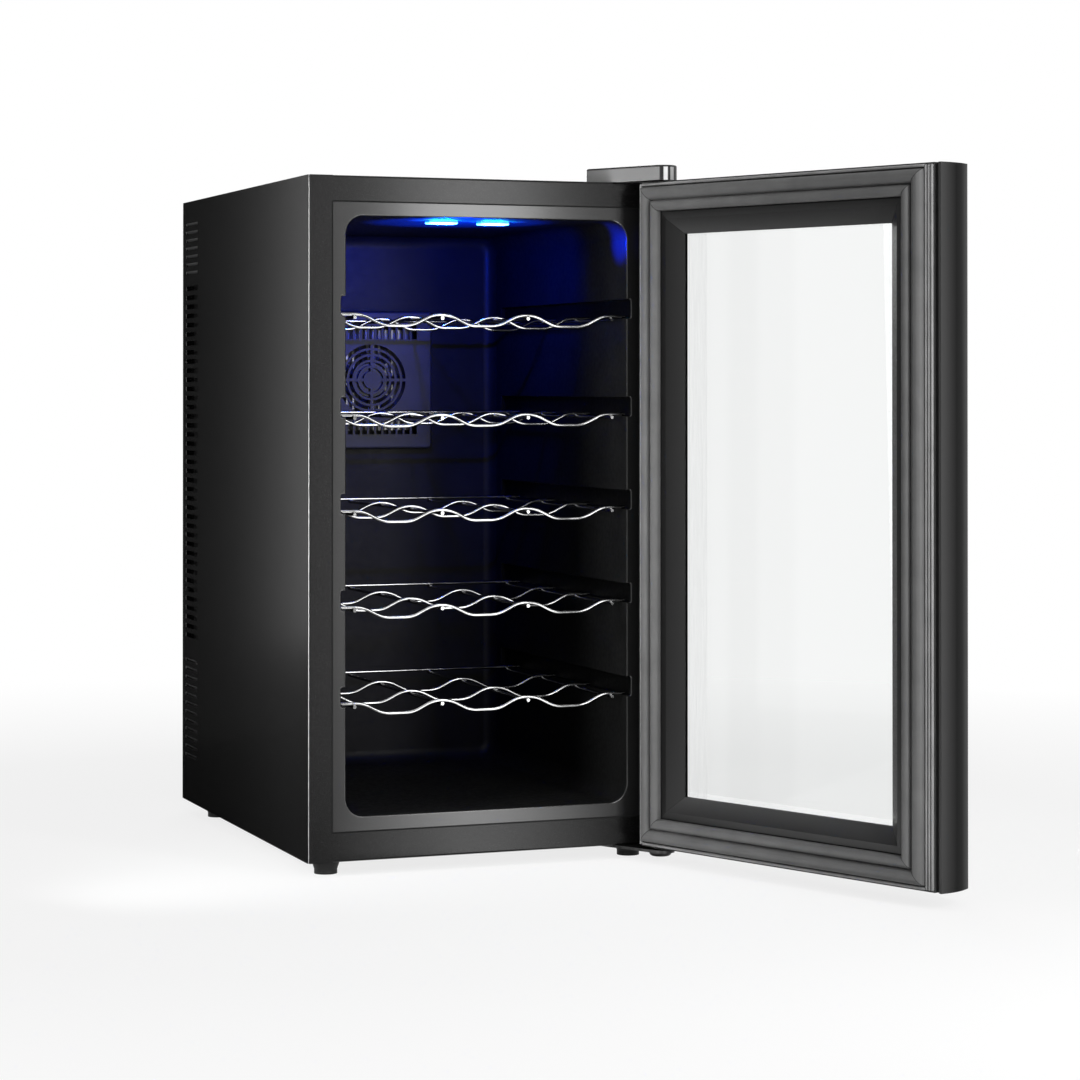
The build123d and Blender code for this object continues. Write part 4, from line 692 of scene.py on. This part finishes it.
# Ribbed lip round the outside of the seal, with three ribs on the handle side
INNER_PLANE = -220 * MM
LIP_RIB = 1.25 * MM
LIP_INSET = 2.4 * MM
HANDLE_RIBS = [-169.2 * MM, -172.4 * MM, -175.6 * MM]
RIB_END = 1.5 * MM
ROD_ROUND = 0.42
LIP_SIDE = DOOR_WIDTH / 2 - LIP_INSET


def rod(place, size):
    """A bar with rounded edges."""
    begin()
    bpy.ops.mesh.primitive_cube_add(size=1, location=place)
    bar = bpy.context.object
    bpy.ops.object.mode_set(mode="EDIT")
    bpy.ops.mesh.select_all(action="SELECT")
    bpy.ops.transform.resize(value=size)
    bpy.ops.mesh.bevel(offset=ROD_ROUND * min(size), segments=3, profile=0.5)
    bpy.ops.mesh.faces_shade_smooth()
    bpy.ops.object.mode_set(mode="OBJECT")
    return bar


def swing(piece):
    """Turns a piece made on the closed door to where the open door stands."""
    only(piece)
    bpy.ops.object.transform_apply(location=True, rotation=True, scale=True)
    turn = Matrix.Translation(PIVOT) @ Matrix.Rotation(DOOR_OPEN, 4, "Z") @ Matrix.Translation(-PIVOT)
    piece.matrix_world = turn
    return piece


thick = 2 * LIP_RIB
upright = (thick, thick, DOOR_HEIGHT - 2 * RIB_END)
first_upright = rod((HANDLE_RIBS[0], INNER_PLANE, DOOR_MIDDLE), upright)
uprights = [first_upright] + [
    copy_of(first_upright, (x - HANDLE_RIBS[0], 0, 0)) for x in [*HANDLE_RIBS[1:], LIP_SIDE]
]
rail = (LIP_SIDE - HANDLE_RIBS[0] - 2 * LIP_RIB, thick, thick)
top_rail = rod(((LIP_SIDE + HANDLE_RIBS[0]) / 2, INNER_PLANE, DOOR_TOP - LIP_INSET), rail)
bottom_rail = copy_of(top_rail, (0, 0, 2 * LIP_INSET - DOOR_HEIGHT))
lip = swing(joined([*uprights, top_rail, bottom_rail]))
settle(lip, "seal_ribbed_lip", "door", lip_rubber)


# Lit figures and touch marks on the front pane, over the control board
FIGURE_THICK = 0.3 * MM
FIGURE_FACE = PANE_FACE - FIGURE_THICK / 2
BAR_LENGTH = 3.6 * MM
BAR_WIDTH = 1.0 * MM
DIGIT_WIDTH = 2.4 * MM
DIGIT_HEIGHT = 4.6 * MM
DIGITS = {-6.5 * MM: "bc", 3.5 * MM: "abged"}
SEGMENTS = {
    "a": (0, 1, True), "g": (0, 0, True), "d": (0, -1, True),
    "b": (1, 0.5, False), "c": (1, -0.5, False), "e": (-1, -0.5, False),
}
ARROW_PLACES = [(-22.5 * MM, -math.pi / 2), (22.5 * MM, math.pi / 2)]
ARROW_RADIUS = 3.2 * MM
QUARTER_TURN = (math.pi / 2, 0, 0)
RING_PLACES = [-37.5 * MM, 37.5 * MM]
RING_RADIUS = 2.8 * MM
RING_WIRE = 0.35 * MM
UNDERLINE_DROP = 1.5 * BAR_WIDTH


def figure_pieces():
    """Digits made of bars, two arrows, and two ring marks with a bar, on the closed door."""
    middle = (0, FIGURE_FACE, CONTROL_HEIGHT)
    flat = rod(middle, (BAR_LENGTH, FIGURE_THICK, BAR_WIDTH))
    upright = rod(middle, (BAR_WIDTH, FIGURE_THICK, BAR_LENGTH))
    pieces = [
        copy_of(flat if lying else upright, (x + across * DIGIT_WIDTH, 0, up * DIGIT_HEIGHT))
        for x, bars in DIGITS.items()
        for across, up, lying in (SEGMENTS[bar] for bar in bars)
    ]
    pieces.append(copy_of(upright, (RING_PLACES[1], 0, RING_RADIUS)))
    pieces.append(copy_of(flat, (RING_PLACES[0], 0, -RING_RADIUS - UNDERLINE_DROP)))
    for bar in (flat, upright):
        bpy.data.objects.remove(bar)
    for x, turn in ARROW_PLACES:
        begin()
        bpy.ops.mesh.primitive_cylinder_add(
            vertices=3, radius=ARROW_RADIUS, depth=FIGURE_THICK,
            location=(x, FIGURE_FACE, CONTROL_HEIGHT), rotation=(turn, 0, 0),
        )
        pieces.append(bpy.context.object)
    begin()
    bpy.ops.mesh.primitive_torus_add(
        location=(RING_PLACES[0], FIGURE_FACE, CONTROL_HEIGHT), rotation=QUARTER_TURN,
        major_radius=RING_RADIUS, minor_radius=RING_WIRE, major_segments=40, minor_segments=10,
    )
    ring = bpy.context.object
    bpy.ops.object.shade_smooth()
    return [*pieces, ring, copy_of(ring, (RING_PLACES[1] - RING_PLACES[0], 0, 0))]


figures = swing(joined(figure_pieces()))
settle(figures, "control_figures", "door", lit_legend())


# Floor, background and light
FLOOR_SIZE = 16.0
FLOOR_FADE = (0.7, 1.6)
FLOOR_WHITE = (0.8, 1.0)
WORLD_LIGHT = 0.12


def seen_directly(finish):
    """1 for what the camera sees straight, in a mirror or through glass."""
    path = finish.add("LightPath")
    seen = finish.math("MAXIMUM", path.outputs["Is Camera Ray"], path.outputs["Is Glossy Ray"])
    return finish.math("MAXIMUM", seen, path.outputs["Is Transmission Ray"])


def floor_finish():
    """Pale floor that keeps the soft shadow near the cabinet and runs out to white."""
    floor = Finish("pale_floor", Base_Color=grey(0.85), Roughness=0.7, Specular_IOR_Level=0.0)
    floor.bump(floor.noise(600, 2), 0.0001, 0.1)
    distance = floor.add("VectorMath", {0: floor.place((1, 1, 0))}, operation="LENGTH").outputs["Value"]
    far = floor.spread(distance, *FLOOR_WHITE, *FLOOR_FADE)
    white = floor.add("Emission", {"Color": grey(1), "Strength": 1.0})
    share = floor.math("MULTIPLY", seen_directly(floor), far)
    near = floor.shader.outputs["BSDF"]
    mix = floor.add("MixShader", {0: share, 1: near, 2: white.outputs["Emission"]})
    floor.links.new(mix.outputs["Shader"], floor.nodes["Material Output"].inputs["Surface"])
    return floor.material


begin()
bpy.ops.mesh.primitive_plane_add(size=FLOOR_SIZE, location=(0, 0, 0))
floor = bpy.context.object
floor.name = "studio_floor"
floor.data.materials.append(floor_finish())

world = bpy.data.worlds.new("studio_world")
world.use_nodes = True
bpy.context.scene.world = world
tree = world.node_tree
path = tree.nodes.new("ShaderNodeLightPath")
seen = path.outputs["Is Camera Ray"]
for ray in ("Is Glossy Ray", "Is Transmission Ray"):
    either = tree.nodes.new("ShaderNodeMath")
    either.operation = "MAXIMUM"
    tree.links.new(seen, either.inputs[0])
    tree.links.new(path.outputs[ray], either.inputs[1])
    seen = either.outputs["Value"]
strength = tree.nodes.new("ShaderNodeMapRange")
strength.inputs["To Min"].default_value = WORLD_LIGHT
strength.inputs["To Max"].default_value = 1.0
tree.links.new(seen, strength.inputs["Value"])
tree.nodes["Background"].inputs["Color"].default_value = grey(1)
tree.links.new(strength.outputs["Result"], tree.nodes["Background"].inputs["Strength"])


# Each softbox: its place, what it points at, its width and height, and its power
SOFTBOXES = {
    "key_strip": ((0.39, -1.34, 0.5), (0, -0.21, 0.5), (0.17, 0.96), 8.5),
    "left_lamp": ((-0.47, -0.3, 0.37), (-0.17, -0.16, 0.36), (0.12, 0.6), 2.2),
    "front_softbox": ((-0.1, -2.3, 1.0), (0.1, -0.3, 0.3), (0.8, 0.8), 8),
    "top_softbox": ((-0.1, -0.7, 2.2), (0.1, -0.2, 0.4), (1.4, 1.2), 11),
    "rear_softbox": ((0.5, 2.2, 1.2), (0, 0.2, 0.35), (1.2, 1.2), 20),
}
LEFT_LAMP_SPREAD = math.radians(95)


def hang(name, data, place, direction):
    """Puts a lamp in the scene, pointing along a direction and hidden from the camera."""
    lamp = bpy.data.objects.new(name, data)
    bpy.context.collection.objects.link(lamp)
    lamp.location = place
    lamp.rotation_euler = Vector(direction).to_track_quat("-Z", "Y").to_euler()
    lamp.visible_camera = False
    return lamp


def softbox(name, place, aim, size, power):
    data = bpy.data.lights.new(name, "AREA")
    data.shape = "RECTANGLE"
    data.size, data.size_y = size
    data.energy = power
    return hang(name, data, place, Vector(aim) - Vector(place))


boxes = {name: softbox(name, *values) for name, values in SOFTBOXES.items()}

# The left lamp has louvres that keep it off the floor, and does not show in the glass
boxes["left_lamp"].data.spread = LEFT_LAMP_SPREAD
boxes["left_lamp"].visible_glossy = False

# Grey flag behind the left side and its dark cloth on the floor, seen only in the sheen of the panel
FLAG_PLACE = 0.8
FLAG_EDGES = (-0.48, -0.1)
FLAG_HEIGHT = 1.2
CLOTH_LIFT = 2 * MM
CLOTH_REACH = 2.2
CLOTH_WIDTH = 0.9


def flag_finish(name, dark, light):
    """Dull dark cloth."""
    cloth = Finish(name, Specular_IOR_Level=0.0, Roughness=1.0)
    cloth.colour(cloth.tone(cloth.noise(300, 2), grey(dark), grey(light)))
    return cloth.material


def stage_sheet(name, place, size, turn, finish):
    """A flat sheet of the studio that only shows in reflections."""
    begin()
    bpy.ops.mesh.primitive_plane_add(size=1, location=place, rotation=turn)
    sheet = bpy.context.object
    sheet.name = name
    sheet.scale = (*size, 1)
    sheet.data.materials.append(finish)
    for kind in ("camera", "diffuse", "transmission", "shadow", "volume_scatter"):
        setattr(sheet, f"visible_{kind}", False)


flag_middle = (sum(FLAG_EDGES) / 2, FLAG_PLACE, FLAG_HEIGHT / 2)
flag_size = (FLAG_EDGES[1] - FLAG_EDGES[0], FLAG_HEIGHT)
flag_cloth = flag_finish("flag_grey_cloth", 0.06, 0.08)
stage_sheet("studio_flag", flag_middle, flag_size, QUARTER_TURN, flag_cloth)
cloth_middle = (cad_box[0][0] - CLOTH_WIDTH / 2, FRONT + CLOTH_REACH / 2, CLOTH_LIFT)
floor_cloth = flag_finish("floor_black_cloth", 0.02, 0.03)
stage_sheet("studio_floor_cloth", cloth_middle, (CLOTH_WIDTH, CLOTH_REACH), (0, 0, 0), floor_cloth)

# Mirror image of the key strip in a polished floor, seen only in the lower edge of the front
STREAK_MIDDLE = (0.195, -0.795, 3 * MM)
STREAK_SIZE = (0.3, 1.15)
STREAK_TURN = math.radians(19.7)
STREAK_LIGHT = 7.0
STREAK_FADE = (0.05, 0.5)

streak = Finish("streak_light", Base_Color=grey(0), Emission_Strength=STREAK_LIGHT)
streak_across = streak.add("SeparateXYZ", {"Vector": streak.place()}).outputs["X"]
off_middle = streak.math("ABSOLUTE", streak_across)
streak.feed(streak.shader, {"Emission Color": streak.tone(off_middle, grey(1), grey(0), *STREAK_FADE)})
stage_sheet("studio_floor_streak", STREAK_MIDDLE, STREAK_SIZE, (0, 0, STREAK_TURN), streak.material)


# Blue light inside the cabinet, in cones that keep off the door
BLUE = (0.0, 0.03, 1)
CYAN = (0.0, 0.5, 1)
WASH_BLUE = (0.0, 0.04, 1)
WALL_BLUE = (0.0, 0.02, 1)
LAMP_DROP = LENS_DROP + 8 * MM
LAMP_AIM = Vector((0.07, 0.13, 0.53))
WALL_AIM = Vector((0.138, -0.196, 0.577))
WASH_PLACE = (0, -130 * MM, CEILING - 85 * MM)
UP = (0, 0, 1)
UP_AND_FORWARD = (0, -0.2, 1)
SPOT_RADIUS = 4 * MM


def cabin_spot(name, place, direction, tint, cone, blend, power):
    """A small lamp with a cone in degrees, whose blend softens the edge of its pool."""
    data = bpy.data.lights.new(name, "SPOT")
    data.energy = power
    data.color = tint
    data.spot_size = math.radians(cone)
    data.spot_blend = blend
    data.shadow_soft_size = SPOT_RADIUS
    hang(name, data, place, direction)


left, right = (Vector((x, LENS_Y, CEILING - LAMP_DROP)) for x in LENS_PLACES)
for number, place in enumerate((left, right), 1):
    cabin_spot(f"cabin_lamp_{number}", place, LAMP_AIM - place, BLUE, cone=130, blend=1.0, power=6.0)
    cabin_spot(f"ceiling_glow_{number}", place, UP_AND_FORWARD, CYAN, cone=140, blend=1.0, power=4.0)
cabin_spot("ceiling_wash", WASH_PLACE, UP, WASH_BLUE, cone=98, blend=0.3, power=16)
cabin_spot("wall_glow", right, WALL_AIM - right, WALL_BLUE, cone=23, blend=1.0, power=26)

# The photograph's camera
camera_data = bpy.data.cameras.new("photo_camera")
camera_data.lens = CAMERA_LENS
camera_data.sensor_width = CAMERA_SENSOR
camera_data.shift_y = CAMERA_SHIFT
camera = bpy.data.objects.new("photo_camera", camera_data)
bpy.context.collection.objects.link(camera)
camera.location = CAMERA_PLACE
camera.rotation_euler = CAMERA_TURN
bpy.context.scene.camera = camera
bpy.context.scene.view_settings.view_transform = "Standard"
